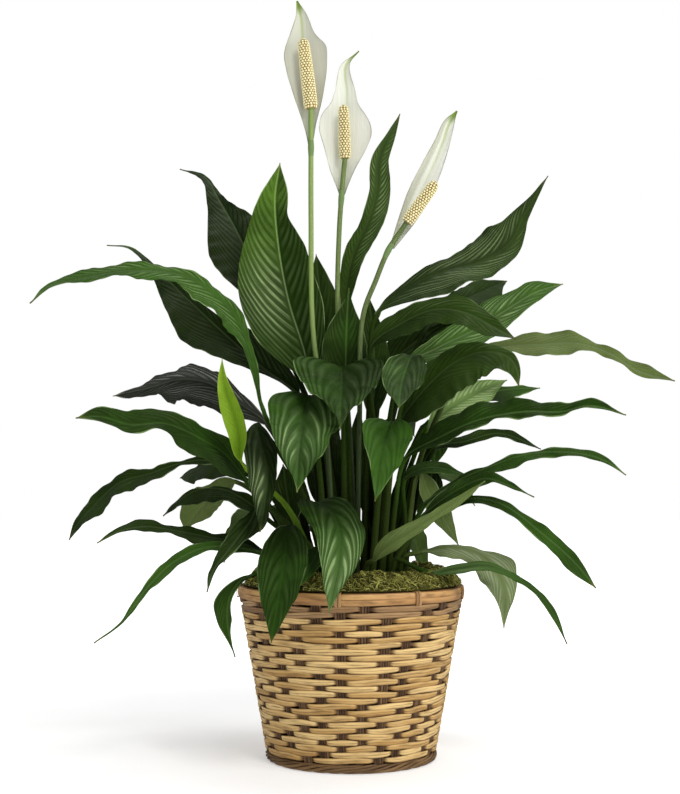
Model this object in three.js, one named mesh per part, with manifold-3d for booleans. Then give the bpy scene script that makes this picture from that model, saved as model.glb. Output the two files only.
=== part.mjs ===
// Flowering peace lily in a woven wicker basket.
// Millimetres, +Z up. The origin is on the floor under the basket's axis.
// -Y is the side the plant is seen from, +X is to that viewer's right.

import * as THREE from 'three';
import Module from 'manifold-3d';

const wasm = await Module();
wasm.setup();

// ---- driving dimensions ---------------------------------------------------
const BASKET_HEIGHT = 170;
const BASE_RADIUS = 81;
const TAPER = 0.1775; // growth of the radius per millimetre of height
const STAKES = 30;
const WEAVE_ROWS = 20;
const FOOT_RING_TOP = 9;
const RIM_BAND = 12;
const RIM_INNER = 106;
const RIM_OUTER = 113;
const LASHINGS = 9;
const LASHING_WIDTH = 7;
const FIRST_LASHING = -96.7; // bearing of the lashing nearest the viewer, degrees
const WALL = 6;
const FLOOR_THICK = 4.2;
const GAP = 0.35;
const LINER_WALL = 1.2;
const LINER_TOP = 174;
const SOIL_SHOULDER = 150;
const SOIL_CROWN = 166;
const CROWN_RADIUS = 61;
const ROOT_DEPTH = 20;
const MOSS_INNER = 62.5;
const MOSS_OUTER = 100.5;
const PETIOLE_FOOT = 3.0;
const PETIOLE_TOP = 2.1;
const BLADE_EDGE = 0.8;
const BLADE_RIB = 1.7;
const STALK = 2.6;

// The viewer's eye. Leaf points are read off a picture plane that stands VIEW_REACH
// from the eye and leans back by VIEW_TILT: across from the basket's axis, up from its
// foot, and then the true depth (+Y) of the point.
const EYE = new THREE.Vector3(-11, -1400, 281);
const VIEW_REACH = 1395;
const VIEW_TILT = 3.1;
const VIEW_RISE = 359;

const COLOURS = {
  deep: 0x1f3d1b,
  mid: 0x2c5a26,
  bright: 0x4f8a33,
  young: 0x8fb43f,
  olive: 0x5e7340,
  grey: 0x34382f,
  stalk: 0x6a9a3c,
  spathe: 0xeceee2,
  spadix: 0xe6dca0,
  cane: 0xc39b57,
  rim: 0xa86d38,
  base: 0x6b4423,
  liner: 0x1c1c1b,
  soil: 0x2e2118,
  moss: 0x6a6c2c,
};

// ---- leaves ---------------------------------------------------------------
// name, foot [radius, bearing], midrib from the blade's base to its tip,
// half width (and where along the blade it is widest), bearing it leans to, roll at base and tip, fold,
// waves [count, height], points across, colour, leaf whose foot it shares
const LEAVES = [
  ['leaf_a1', [12, 120], [[-84, 446, 60], [-108, 511, 87], [-131, 554, 122], [-146, 578, 148],
    [-171, 587, 172]],
    [31, 0.42], 90, 10, 0, 14, [3, 2.5], 5, 'deep', ''],
  ['leaf_a2', [12, 180], [[-39, 373, 15], [-48, 409, 21], [-62, 454, 29], [-72, 506, 39], [-76, 556, 49],
    [-71, 593, 60]],
    [44, 0.42], 90, 0, 0, 24, [4, 2.5], 5, 'bright', ''],
  ['leaf_a3', [26, 180], [[-88, 345, -12], [-98, 392, -20], [-113, 434, -31], [-136, 461, -49], [-168, 480, -68],
    [-216, 485, -92], [-264, 478, -121], [-301, 469, -145], [-321, 453, -170]],
    [27, 0.36], 190, -56, -48, 16, [6, 3], 5, 'mid', ''],
  ['leaf_a4', [26, 150], [[-51, 357, 20], [-88, 388, 35], [-129, 424, 54], [-166, 459, 73],
    [-196, 488, 90], [-221, 508, 105], [-244, 511, 117]],
    [28, 0.42], 95, 0, 0, 12, [4, 2.5], 5, 'deep', ''],
  ['leaf_a5', [40, 160], [[-83, 330, 30], [-111, 352, 51], [-141, 372, 74], [-171, 376, 97],
    [-201, 368, 118], [-238, 360, 140]],
    [24, 0.42], 160, -58, -50, 14, [5, 4], 5, 'grey', ''],
  ['leaf_a6', [42, 216], [[-109, 294, -60], [-113, 326, -71], [-122, 356, -80], [-128, 378, -90],
    [-129, 398, -100]],
    15, 90, 0, 0, 46, [2, 0.5], 3, 'young', ''],
  ['leaf_b1', [54, 195], [[-105, 274, -30], [-126, 301, -48], [-151, 317, -67], [-186, 332, -89],
    [-221, 331, -112], [-251, 339, -133], [-275, 338, -150]],
    [24, 0.45], 195, -55, -60, 14, [4, 2.5], 5, 'mid', ''],
  ['leaf_b2', [54, 180], [[-117, 286, 5], [-146, 295, 11], [-171, 292, 19], [-201, 282, 27],
    [-231, 273, 34], [-256, 251, 41], [-273, 232, 46], [-282, 216, 51]],
    [17, 0.5], 165, -50, -50, 14, [5, 2.5], 3, 'deep', ''],
  ['leaf_b3', [0, 0], [[-105, 283, 34], [-138, 291, 61], [-156, 286, 87], [-171, 278, 115]],
    14, 150, -52, -52, 10, [3, 1.5], 3, 'deep', 'leaf_b4'],
  ['leaf_b4', [54, 150], [[-115, 274, 60], [-136, 261, 88], [-153, 246, 116], [-167, 226, 145]],
    22, 140, 34, 30, 10, [3, 2], 3, 'olive', ''],
  ['leaf_b5', [0, 0], [[-89, 241, -10], [-104, 254, -9], [-126, 266, -6], [-151, 266, -3], [-171, 256, 1],
    [-188, 240, 5]],
    14, 160, -52, -52, 12, [4, 2], 3, 'deep', 'leaf_b1'],
  ['leaf_b6', [54, 165], [[-83, 202, 10], [-111, 213, -1], [-146, 219, -14], [-176, 225, -28],
    [-206, 229, -42], [-233, 224, -57], [-254, 213, -70]],
    [14, 0.5], 200, -42, -42, 12, [4, 1.5], 3, 'deep', ''],
  ['leaf_b7', [54, 210], [[-89, 202, -30], [-116, 208, -45], [-146, 208, -62], [-175, 195, -81],
    [-200, 172, -100], [-214, 154, -118], [-230, 133, -137], [-257, 113, -160]],
    [13, 0.42], 200, -50, -50, 12, [5, 1.5], 3, 'mid', ''],
  ['leaf_b8', [54, 225], [[-89, 253, -60], [-101, 234, -80], [-118, 211, -103], [-138, 184, -128],
    [-144, 164, -150]],
    20, 240, -20, -20, 12, [3, 2], 3, 'deep', ''],
  ['leaf_b9', [0, 0], [[-98, 181, -40], [-111, 175, -48], [-122, 157, -57], [-124, 135, -66],
    [-120, 114, -75], [-116, 99, -85]],
    13, 220, -60, -60, 12, [3, 1], 3, 'mid', 'leaf_b7'],
  ['leaf_c1', [30, 214], [[-41, 358, -22], [-48, 331, -70], [-52, 301, -113], [-54, 264, -148]],
    36, 260, 0, 0, 14, [4, 2.5], 5, 'mid', ''],
  ['leaf_c2', [40, 233], [[-93, 331, -36], [-89, 311, -56], [-83, 281, -84], [-86, 251, -111],
    [-91, 224, -135]],
    21, 250, -10, -10, 16, [4, 2], 3, 'deep', ''],
  ['leaf_c3', [54, 240], [[-61, 229, -70], [-65, 206, -98], [-69, 176, -128], [-74, 144, -149],
    [-80, 113, -165]],
    25, 250, 0, 0, 14, [4, 1.5], 3, 'mid', ''],
  ['leaf_c4', [54, 255], [[-36, 251, -55], [-20, 243, -88], [-11, 221, -117], [-12, 191, -140],
    [-17, 166, -161], [-22, 143, -178]],
    24, 270, 0, 0, 12, [4, 2], 3, 'mid', ''],
  ['leaf_c5', [0, 0], [[-29, 208, -70], [-39, 192, -100], [-54, 168, -130]],
    12, 250, 0, 0, 12, [2, 1], 3, 'mid', 'leaf_c4'],
  ['leaf_c6', [40, 300], [[41, 332, -60], [34, 316, -86], [29, 291, -117], [24, 255, -150]],
    26, 270, 0, 0, 14, [3, 2.5], 3, 'mid', ''],
  ['leaf_c7', [12, 240], [[-9, 386, 5], [-9, 371, -43], [-10, 351, -88], [-11, 326, -120]],
    40, 270, 0, 0, 12, [4, 2.5], 5, 'mid', ''],
  ['leaf_c8', [40, 316], [[61, 398, -45], [55, 386, -73], [50, 368, -104], [48, 348, -135]],
    22, 270, 0, 0, 12, [3, 2], 3, 'mid', ''],
  ['leaf_c9', [0, 0], [[-5, 376, 13], [-5, 406, 11], [-4, 436, 13], [-2, 468, 17]],
    25, 90, 0, 0, 16, [3, 1.5], 3, 'mid', ''],
  ['leaf_c10', [26, 120], [[-27, 372, 44], [-27, 420, 58], [-31, 464, 73], [-35, 502, 88]],
    24, 90, 0, 0, 16, [3, 2], 3, 'deep', ''],
  ['leaf_d1', [26, 90], [[-7, 430, 46], [-4, 466, 52], [2, 498, 58], [16, 531, 68], [25, 562, 80], [28, 596, 92],
    [38, 622, 103], [49, 642, 115]],
    [19.5, 0.52], 90, -20, 20, 20, [4, 3], 3, 'deep', ''],
  ['leaf_d2', [12, 0], [[25, 441, 10], [50, 464, 18], [89, 483, 29], [129, 494, 41], [158, 512, 54],
    [173, 540, 66], [189, 568, 78], [197, 580, 90]],
    [21, 0.5], 70, 34, 30, 16, [5, 2.5], 5, 'deep', ''],
  ['leaf_d3', [26, 60], [[75, 426, 70], [105, 451, 99], [131, 464, 128], [156, 475, 160]],
    [22, 0.5], 75, 28, 28, 14, [3, 2], 3, 'deep', ''],
  ['leaf_d4', [26, 30], [[52, 386, 30], [87, 408, 43], [124, 426, 59], [154, 445, 75], [184, 463, 92],
    [212, 472, 110]],
    [24, 0.42], 75, 26, 34, 14, [4, 2], 3, 'mid', ''],
  ['leaf_d5', [26, 0], [[21, 408, -10], [49, 431, -25], [84, 446, -43], [114, 443, -61], [144, 428, -80],
    [165, 417, -100]],
    20, 340, 64, 60, 14, [4, 2.5], 3, 'deep', ''],
  ['leaf_d6', [40, 8], [[127, 404, 10], [154, 409, 2], [189, 411, -9], [229, 412, -23], [261, 401, -34],
    [289, 384, -47], [324, 375, -60]],
    [15, 0.45], 345, 60, 60, 14, [5, 3], 3, 'olive', ''],
  ['leaf_d8', [28, 335], [[49, 331, -18], [74, 366, -34], [104, 393, -46], [134, 404, -55],
    [157, 399, -65], [166, 386, -75], [168, 369, -85]],
    27, 335, 66, 60, 14, [4, 2], 5, 'deep', ''],
  ['leaf_d9', [40, 20], [[77, 328, 20], [98, 347, 30], [124, 362, 42], [156, 376, 54]],
    20, 60, 25, 25, 14, [3, 2], 3, 'bright', ''],
  ['leaf_d11', [40, 40], [[119, 354, 50], [149, 365, 73], [189, 368, 100]],
    13, 40, 45, 45, 12, [3, 1.5], 3, 'mid', ''],
  ['leaf_d10', [40, 340], [[54, 296, -20], [89, 318, -33], [129, 336, -48], [174, 344, -64],
    [211, 344, -79], [239, 350, -95], [275, 341, -110]],
    [19, 0.42], 345, 55, 55, 14, [6, 3], 5, 'mid', ''],
  ['leaf_d12', [54, 15], [[84, 306, 20], [114, 314, 37], [149, 322, 58], [190, 307, 80]],
    13, 30, 50, 50, 12, [3, 1.5], 3, 'deep', ''],
  ['leaf_d13', [54, 345], [[74, 251, -24], [104, 273, -32], [139, 289, -41], [179, 302, -53],
    [224, 303, -66], [252, 296, -78], [275, 281, -90]],
    [12, 0.5], 345, 55, 55, 12, [5, 2], 3, 'mid', ''],
  ['leaf_d15', [54, 330], [[74, 241, -40], [104, 264, -57], [134, 277, -77], [159, 270, -98],
    [183, 259, -120]],
    14, 335, 60, 58, 12, [4, 2], 3, 'mid', ''],
  ['leaf_d16', [54, 285], [[23, 196, -68], [34, 208, -81], [56, 222, -94], [84, 240, -107],
    [112, 259, -121], [134, 275, -135]],
    [20, 0.3], 340, -62, -62, 12, [4, 1.5], 3, 'olive', ''],
  ['leaf_d14', [54, 315], [[99, 246, -50], [122, 257, -63], [152, 251, -77], [189, 224, -94],
    [221, 196, -112], [245, 168, -130]],
    [12, 0.5], 345, 58, 58, 12, [4, 1.5], 3, 'mid', ''],
  ['leaf_d17', [54, 356], [[68, 284, -3], [78, 262, -3], [94, 234, -4], [108, 210, -5]],
    14, 300, 0, 0, 12, [2, 1], 3, 'olive', ''],
  ['leaf_d18', [0, 0], [[72, 204, -30], [101, 209, -40], [133, 199, -51], [152, 171, -60], [153, 128, -66]],
    [20, 0.5], 340, 38, 62, 10, [4, 1.5], 3, 'olive', 'leaf_d15'],
  ['leaf_d19', [0, 0], [[79, 183, -54], [104, 187, -64], [137, 190, -76], [169, 176, -89],
    [187, 163, -101], [202, 143, -116], [216, 112, -130]],
    9, 330, 50, 50, 12, [4, 1], 3, 'mid', 'leaf_d14'],
  ['leaf_e1', [54, 30], [[81, 286, 42], [77, 266, 40], [66, 244, 38]],
    15, 270, 0, 0, 12, [2, 1], 3, 'deep', ''],
  ['leaf_e2', [0, 0], [[54, 276, -3], [79, 288, -3], [118, 280, -3]],
    10, 0, 40, 40, 12, [2, 1], 3, 'mid', 'leaf_d17'],
  ['leaf_e3', [0, 0], [[77, 335, 40], [83, 314, 40], [84, 290, 40]],
    17, 270, 0, 0, 12, [2, 1], 3, 'mid', 'leaf_d11'],
  ['leaf_d7', [0, 0], [[36, 384, 66], [62, 412, 72], [92, 430, 78], [120, 436, 84]],
    24, 80, 0, 0, 14, [3, 2], 3, 'deep', 'leaf_d3'],
  ['leaf_f1', [40, 120], [[-18, 236, 40], [-22, 276, 50], [-26, 306, 62], [-30, 336, 78]],
    24, 90, 0, 0, 14, [3, 2], 3, 'deep', ''],
  ['leaf_f2', [26, 0], [[14.5, 240, 13], [17, 276, 18], [19.5, 310, 21], [22.5, 346, 25]],
    11.5, 90, 0, 0, 14, [3, 2], 3, 'deep', 'leaf_d5'],
  ['leaf_f3', [0, 0], [[21, 336, 26], [24, 376, 30], [22, 420, 37], [18, 460, 44]],
    17, 90, 0, 0, 14, [2, 2], 3, 'deep', 'leaf_d5'],
  ['leaf_f5', [0, 0], [[5, 280, 40], [6, 312, 45], [8, 350, 52]],
    9, 90, 0, 0, 14, [2, 2], 3, 'deep', 'leaf_d1'],
  ['leaf_f4', [0, 0], [[-58, 232, -12], [-64, 262, -8], [-68, 292, -3]],
    15, 90, 0, 0, 14, [2, 2], 3, 'deep', 'leaf_b1'],
];

// Half widths of blades as seen in the picture plane, on either side of the midrib,
// at these parts of the blade's length.
const STATIONS = [0.15, 0.3, 0.45, 0.6, 0.75, 0.88];
const OUTLINES = {
  leaf_a1: [[26, 34, 28, 8, 3, 1.5], [26, 34, 24, 13, 6, 1.5]],
  leaf_a2: [[22, 33, 30, 26, 11, 11], [34, 44, 46, 36, 23, 10.5]],
  leaf_a3: [[4, 8, 7, 8.5, 9, 5], [3, 11, 12, 6, 3, 1.2]],
  leaf_a4: [[20, 25, 8, 9, 3, 1.5], [3, 21, 31, 20, 6, 1.5]],
  leaf_a5: [[8, 12, 16, 14.5, 9, 4], [15, 22, 22, 17, 4, 7]],
  leaf_b1: [[14, 14, 13, 17, 13, 10.5], [20, 14.5, 14, 4.5, 7, 4.5]],
  leaf_b2: [[5, 3, 7, 9, 8, 6], [3, 2, 8, 7, 9, 4]],
  leaf_b3: [[8, 8, 6, 5, 3, 2], [12, 13, 12, 9, 6, 3]],
  leaf_b4: [[6, 8, 10, 13, 12, 6], [10, 14, 18, 19, 14, 9]],
  leaf_b5: [[8, 4, 1.5, 2, 3, 1.5], [8, 9, 12, 12, 6, 4]],
  leaf_b6: [[8, 5.5, 7.5, 5, 8.5, 3.5], [7, 5.5, 6, 3, 3.5, 0.8]],
  leaf_b7: [[6, 6.5, 7, 5, 3, 1], [4, 3, 5.5, 4, 2, 1.2]],
  leaf_b8: [[5, 11, 11.5, 8, 4.5, 2.5], [14, 12, 7, 3, 2, 1.5]],
  leaf_b9: [[3, 9, 14, 10.5, 5, 1.5], [3, 3, 3, 5.5, 1.5, 0.5]],
  leaf_c1: [[36, 36, 31, 24.5, 15, 5], [20, 32, 36, 28, 21, 10]],
  leaf_c2: [[16, 19, 20, 19.5, 12, 6], [10, 14, 9, 8, 5, 4]],
  leaf_c4: [[19, 23, 24, 21, 15, 8], [20, 22, 26, 21, 12, 5]],
  leaf_c6: [[26, 22.5, 16.5, 11, 6.5, 3], [20, 25, 23, 19, 13, 6]],
  leaf_c7: [[46, 44, 40, 27, 13.5, 3], [40, 39, 33, 27, 14.5, 5]],
  leaf_c9: [[19, 21, 19, 15, 8, 3], [20, 24, 22, 17, 9, 3]],
  leaf_d1: [[7, 10, 15, 14, 9.5, 7], [8, 10, 8, 7, 8, 2]],
  leaf_d2: [[16, 24, 14, 13.5, 5.5, 3], [6, 12, 18.5, 29, 13, 3]],
  leaf_d3: [[8, 14, 16, 14, 12, 4], [8, 12, 12.5, 14.5, 12, 7]],
  leaf_d4: [[10, 14, 15, 13, 9, 5], [10, 14, 18, 19, 12.5, 10]],
  leaf_d5: [[8, 11, 12, 12, 12, 8], [14, 12, 14, 16, 11, 6]],
  leaf_d6: [[4, 10, 9.5, 3.5, 3, 3], [8, 13.5, 12.5, 5, 6.5, 8.5]],
  leaf_d8: [[18, 20, 23, 22, 26, 14], [10, 17, 18, 12, 7, 4]],
  leaf_d9: [[8, 12, 15, 14, 9, 4], [8, 11, 13, 14, 10, 6]],
  leaf_d10: [[5, 6, 3, 5.5, 2, 1], [12, 17, 16.5, 12.5, 8, 7]],
  leaf_d11: [[8, 10, 9, 7, 4, 2], [6, 7, 6, 4, 3, 2]],
  leaf_d12: [[4, 3, 3, 3, 2, 1.5], [6, 7, 7, 6, 5, 3]],
  leaf_d13: [[5, 5, 8, 5, 3, 2], [4, 3, 3, 3, 5.5, 4]],
  leaf_d14: [[4, 4.5, 5, 6, 7.5, 8.5], [3.5, 4, 5, 8.5, 7.5, 4.5]],
  leaf_d15: [[8, 8, 8, 3, 1.5, 1], [8, 8, 7, 8, 5, 1.5]],
  leaf_d16: [[9, 11, 7, 6, 4, 2.5], [8, 6, 5, 4, 4.5, 3]],
  leaf_d18: [[9, 9, 12, 18, 13, 4.5], [3, 2, 7, 22, 12, 4.5]],
};

// Leaves of the far side, which lean away from the viewer: name, foot,
// midrib as [distance from the axis, height], then as above.
const FAR_LEAVES = [
  ['leaf_k1', [54, 56], [[72, 240], [105, 268], [145, 280], [185, 270], [218, 244]],
    24, 50, 0, 0, 14, [4, 3], 3, 'mid', ''],
  ['leaf_k2', [54, 72], [[66, 250], [92, 300], [124, 330], [160, 338], [196, 322]],
    28, 68, 0, 0, 14, [4, 3], 3, 'deep', ''],
  ['leaf_k3', [54, 94], [[70, 236], [104, 262], [142, 270], [180, 256], [208, 226]],
    22, 94, 0, 0, 14, [4, 2.5], 3, 'mid', ''],
  ['leaf_k4', [54, 116], [[66, 262], [92, 312], [124, 346], [158, 358], [190, 350]],
    27, 112, 0, 0, 14, [4, 3], 3, 'deep', ''],
  ['leaf_k5', [54, 135], [[70, 226], [104, 241], [140, 240], [176, 218], [200, 182]],
    24, 134, 0, 0, 14, [4, 2.5], 3, 'mid', ''],
  ['leaf_k6', [0, 0], [[72, 214], [108, 226], [146, 218], [178, 190], [196, 154]],
    17, 64, 0, 0, 12, [3, 2], 3, 'mid', 'leaf_k1'],
  ['leaf_k7', [0, 0], [[72, 212], [108, 222], [146, 212], [176, 184], [192, 148]],
    17, 116, 0, 0, 12, [3, 2], 3, 'deep', 'leaf_k4'],
];

// ---- blooms ---------------------------------------------------------------
// stalk points from the moss up to the spadix, spathe midrib, half width,
// bearing and roll of the spathe, its fold, spadix base and top, spadix radius
const BLOOMS = [
  ['left', [19, 215], [[-38, 426, 0], [-40, 540, -3], [-40, 611, -4], [-40, 648, -4]],
    [[-40.5, 608, 1], [-41, 641, 7], [-44, 681, 10], [-48, 711, 11], [-50, 738, 9], [-54, 755, 6]],
    [26, 0.6], 90, 0, 26, [-48, 717, -3], 6.4],
  ['middle', [12, 60], [[-13, 430, 22], [-12, 520, 22], [-9, 566, 22], [-6, 598, 22]],
    [[-9, 558, 27], [-8, 591, 33], [-5, 626, 36], [-4, 661, 36], [-5, 690, 33], [8, 705, 30]],
    [28, 0.47], 90, 0, 22, [-7.5, 651, 22], 5.6],
  ['right', [12, 300], [[12, 440, 0], [25, 476, -4], [38, 507, -7], [56, 534, -10]],
    [[39.5, 505, -5], [54, 532, 4], [68, 561, 9], [82, 590, 10], [92, 614, 9], [98, 632, 6], [106, 645, 3]],
    [20, 0.45], 80, 8, 22, [85, 574, -13], 5.8],
];

// ---- helpers --------------------------------------------------------------
const rad = (degrees) => degrees * Math.PI / 180;

let seed = 20817;
function random() {
  seed = (seed * 16807) % 2147483647;
  return seed / 2147483647;
}

function seen([x, z, y]) {
  const up = z - VIEW_RISE;
  const tilt = rad(VIEW_TILT);
  const forward = VIEW_REACH * Math.cos(tilt) - up * Math.sin(tilt);
  const upward = VIEW_REACH * Math.sin(tilt) + up * Math.cos(tilt);
  const reach = (y - EYE.y) / forward;
  return new THREE.Vector3(EYE.x + (x - EYE.x) * reach, y, EYE.z + upward * reach);
}

// Where a point falls in the picture plane.
function picture(point) {
  const away = point.clone().sub(EYE);
  const tilt = rad(VIEW_TILT);
  const forward = away.y * Math.cos(tilt) + away.z * Math.sin(tilt);
  const upward = away.z * Math.cos(tilt) - away.y * Math.sin(tilt);
  return new THREE.Vector2(away.x, upward).multiplyScalar(VIEW_REACH / forward);
}

function solidOf(points, faces) {
  const vertProperties = new Float32Array(points.length * 3);
  points.forEach((p, i) => vertProperties.set([p.x, p.y, p.z], i * 3));
  const triVerts = new Uint32Array(faces.flat());
  return new wasm.Manifold(new wasm.Mesh({ numProp: 3, vertProperties, triVerts }));
}

// A closed skin over rings of equal length. 'flip' says which diagonal a side takes.
function skinned(rings, flip) {
  const count = rings[0].length;
  const half = count / 2;
  const points = rings.flat();
  const faces = [];
  for (let j = 0; j + 1 < rings.length; j += 1) {
    for (let i = 0; i < count; i += 1) {
      const a = j * count + i;
      const b = j * count + (i + 1) % count;
      const c = b + count;
      const d = a + count;
      if (flip(i)) {
        faces.push([a, d, b], [b, d, c]);
      } else {
        faces.push([a, c, b], [a, d, c]);
      }
    }
  }
  const last = (rings.length - 1) * count;
  for (let i = 0; i + 1 < half; i += 1) {
    const under = count - 1 - i;
    faces.push([i, i + 1, under - 1], [i, under - 1, under]);
    faces.push([last + i, last + under - 1, last + i + 1], [last + i, last + under, last + under - 1]);
  }
  return solidOf(points, faces);
}

// A smooth line through points, sampled evenly along its length.
function lineThrough(points) {
  const curve = new THREE.CatmullRomCurve3(points, false, 'centripetal');
  const steps = 60 * (points.length - 1);
  const samples = [];
  const lengths = [0];
  for (let k = 0; k <= steps; k += 1) {
    samples.push(curve.getPoint(k / steps));
    if (k > 0) {
      lengths.push(lengths[k - 1] + samples[k].distanceTo(samples[k - 1]));
    }
  }
  const at = (length) => {
    let k = 1;
    while (k < steps && lengths[k] < length) {
      k += 1;
    }
    const part = (length - lengths[k - 1]) / (lengths[k] - lengths[k - 1]);
    return samples[k - 1].clone().lerp(samples[k], Math.min(Math.max(part, 0), 1));
  };
  const tangent = (length) => {
    const end = lengths[steps];
    const ahead = at(Math.min(length + 1.5, end));
    return ahead.sub(at(Math.max(length - 1.5, 0))).normalize();
  };
  return { at, tangent, total: lengths[steps], lengthAtPoint: (i) => lengths[60 * i] };
}

// Across, along and upper-face directions of a blade that leans to a bearing.
function axesAt(tangent, bearing, roll) {
  const flat = new THREE.Vector3(-Math.sin(rad(bearing)), Math.cos(rad(bearing)), 0);
  const across = flat.clone().addScaledVector(tangent, -flat.dot(tangent)).normalize();
  const upper = tangent.clone().cross(across);
  const turned = across.clone().multiplyScalar(Math.cos(rad(roll)));
  turned.addScaledVector(upper, Math.sin(rad(roll)));
  return { across: turned, upper: tangent.clone().cross(turned) };
}

function roundSection(centre, axes, radius, across) {
  const top = [];
  const under = [];
  for (let i = 0; i < across; i += 1) {
    const turn = rad(66 * (2 * i / (across - 1) - 1));
    const place = centre.clone().addScaledVector(axes.across, radius * Math.sin(turn));
    top.push(place.clone().addScaledVector(axes.upper, radius * Math.cos(turn)));
    under.unshift(place.clone().addScaledVector(axes.upper, -radius * Math.cos(turn)));
  }
  return [...top, ...under];
}

function bladeSection(centre, axes, across, shape) {
  const top = [];
  const under = [];
  for (let i = 0; i < across; i += 1) {
    const a = 2 * i / (across - 1) - 1;
    const half = a < 0 ? shape.low : shape.high;
    const out = Math.abs(a) * half;
    const wave = shape.wave * a * a * (a < 0 ? -0.8 : 1);
    const rise = out * Math.sin(rad(shape.fold)) + wave - shape.droop * a * a * half;
    const thick = (BLADE_EDGE + (BLADE_RIB - BLADE_EDGE) * (1 - Math.abs(a)) ** 2) / 2;
    const depth = thick / Math.cos(rad(shape.fold));
    const place = centre.clone();
    place.addScaledVector(axes.across, Math.sign(a) * out * Math.cos(rad(shape.fold)));
    place.addScaledVector(axes.upper, rise);
    top.push(place.clone().addScaledVector(axes.upper, depth));
    under.unshift(place.clone().addScaledVector(axes.upper, -depth));
  }
  return [...top, ...under];
}

// Width of a blade along its length, as a part of the widest place, which is at 'peak'.
const profile = (u, peak) => ((u / peak) ** (2 * peak)) * (((1 - u) / (1 - peak)) ** (2 * (1 - peak)));

// A value between the ones given at the stations, with the bends rounded off.
function softCurve(u, values) {
  let sum = 0;
  for (let k = -4; k <= 4; k += 1) {
    const x = Math.min(Math.max(u + k * 0.0075, STATIONS[0]), STATIONS[5]);
    const next = Math.max(1, STATIONS.findIndex((place) => place >= x));
    const part = (x - STATIONS[next - 1]) / (STATIONS[next] - STATIONS[next - 1]);
    sum += values[next - 1] * (1 - part) + values[next] * part;
  }
  return sum / 9;
}

// How far each side of a blade reaches at the stations, as a part of its even outline, so
// that it shows the half widths seen in the picture.
function outlineParts(name, at, axesAtPart, foldAt, evenHalf) {
  return OUTLINES[name].map((row, k) => row.map((seenHalf, index) => {
    const u = STATIONS[index];
    const axes = axesAtPart(u);
    const fold = rad(foldAt(u));
    const way = axes.across.clone().multiplyScalar((k === 0 ? -1 : 1) * Math.cos(fold));
    way.addScaledVector(axes.upper, Math.sin(fold));
    const place = at(u);
    const ahead = picture(at(u + 0.01)).sub(picture(at(u - 0.01))).normalize();
    const step = picture(place.clone().add(way)).sub(picture(place.clone().sub(way))).multiplyScalar(0.5);
    const ratio = Math.max(Math.abs(ahead.cross(step)), 0.3);
    return Math.min(Math.max(seenHalf / ratio / evenHalf(u), 0.05), 1.9);
  }));
}

// Points of a blade's rings as parts of its length, closer together at both ends.
function stations(count) {
  const parts = [];
  for (let j = 1; j <= count; j += 1) {
    const even = j / count;
    parts.push(0.55 * even + 0.45 * (0.5 - 0.5 * Math.cos(Math.PI * even)));
  }
  return parts;
}

function footPoint([radius, bearing], z) {
  return new THREE.Vector3(radius * Math.cos(rad(bearing)), radius * Math.sin(rad(bearing)), z);
}

// The petiole's way from the crown to the blade: upright, then arching out.
function petiolePoints(foot, start, base) {
  const out = new THREE.Vector3(base.x - foot.x, base.y - foot.y, 0);
  const mossLevel = new THREE.Vector3(foot.x + out.x * 0.06, foot.y + out.y * 0.06, start + 24);
  const rise = base.z - mossLevel.z;
  const points = [new THREE.Vector3(foot.x, foot.y, start), mossLevel];
  if (rise > 40) {
    points.push(new THREE.Vector3(foot.x + out.x * 0.4, foot.y + out.y * 0.4, mossLevel.z + rise * 0.56));
  }
  return points;
}

function leafSolid(row, points, feet) {
  const [name, place, , width, bearing, rollBase, rollTip, fold, waves, across, , partner] = row;
  const [half, peak] = [width, 0.4].flat();
  const shared = partner !== '';
  const foot = footPoint(shared ? feet.get(partner) : place, SOIL_CROWN);
  const start = SOIL_CROWN + (shared ? 7 : 2);
  const way = petiolePoints(foot, start, points[0]);
  const line = lineThrough([...way, ...points]);
  const bladeStart = line.lengthAtPoint(way.length);
  const bladeLength = line.total - bladeStart;
  const rings = [];
  const upright = new THREE.Vector3(0, 0, 1);
  const footAxes = axesAt(upright, bearing, 0);
  if (!shared) {
    const bottom = footPoint(place, SOIL_CROWN - ROOT_DEPTH);
    rings.push(roundSection(bottom, footAxes, PETIOLE_FOOT, across));
  }
  const footRadius = shared ? PETIOLE_FOOT - 0.7 : PETIOLE_FOOT;
  rings.push(roundSection(line.at(0), footAxes, footRadius, across));
  const petioleRings = Math.max(3, Math.round(bladeStart / 70));
  for (let j = 1; j <= petioleRings; j += 1) {
    const part = j / petioleRings;
    const length = bladeStart * part;
    const axes = axesAt(line.tangent(length), bearing, rollBase * part);
    rings.push(roundSection(line.at(length), axes, footRadius + (PETIOLE_TOP - footRadius) * part, across));
  }
  const bladeRings = Math.min(Math.max(Math.round(bladeLength / 25), 5), 10);
  const at = (u) => line.at(bladeStart + bladeLength * u);
  const turned = (u) => {
    const tangent = line.tangent(bladeStart + bladeLength * u);
    return axesAt(tangent, bearing, rollBase + (rollTip - rollBase) * u);
  };
  const foldAt = (u) => fold + 16 * (1 - u) ** 3;
  const evenHalf = (u) => half * profile(Math.min(u, 0.999), peak);
  const sides = name in OUTLINES ? outlineParts(name, at, turned, foldAt, evenHalf) : null;
  stations(bladeRings).forEach((u) => {
    const axes = turned(u);
    const swell = Math.sin(Math.PI * u);
    const [low, high] = sides ? sides.map((parts) => softCurve(u, parts)) : [1, 1];
    rings.push(bladeSection(at(u), axes, across, {
      low: Math.max(evenHalf(u) * low, 0.9),
      high: Math.max(evenHalf(u) * high, 0.9),
      fold: foldAt(u),
      droop: 0.12 * swell,
      wave: waves[1] * swell * Math.sin(2 * Math.PI * waves[0] * u),
    }));
  });
  return skinned(rings, (i) => i >= across);
}

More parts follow.
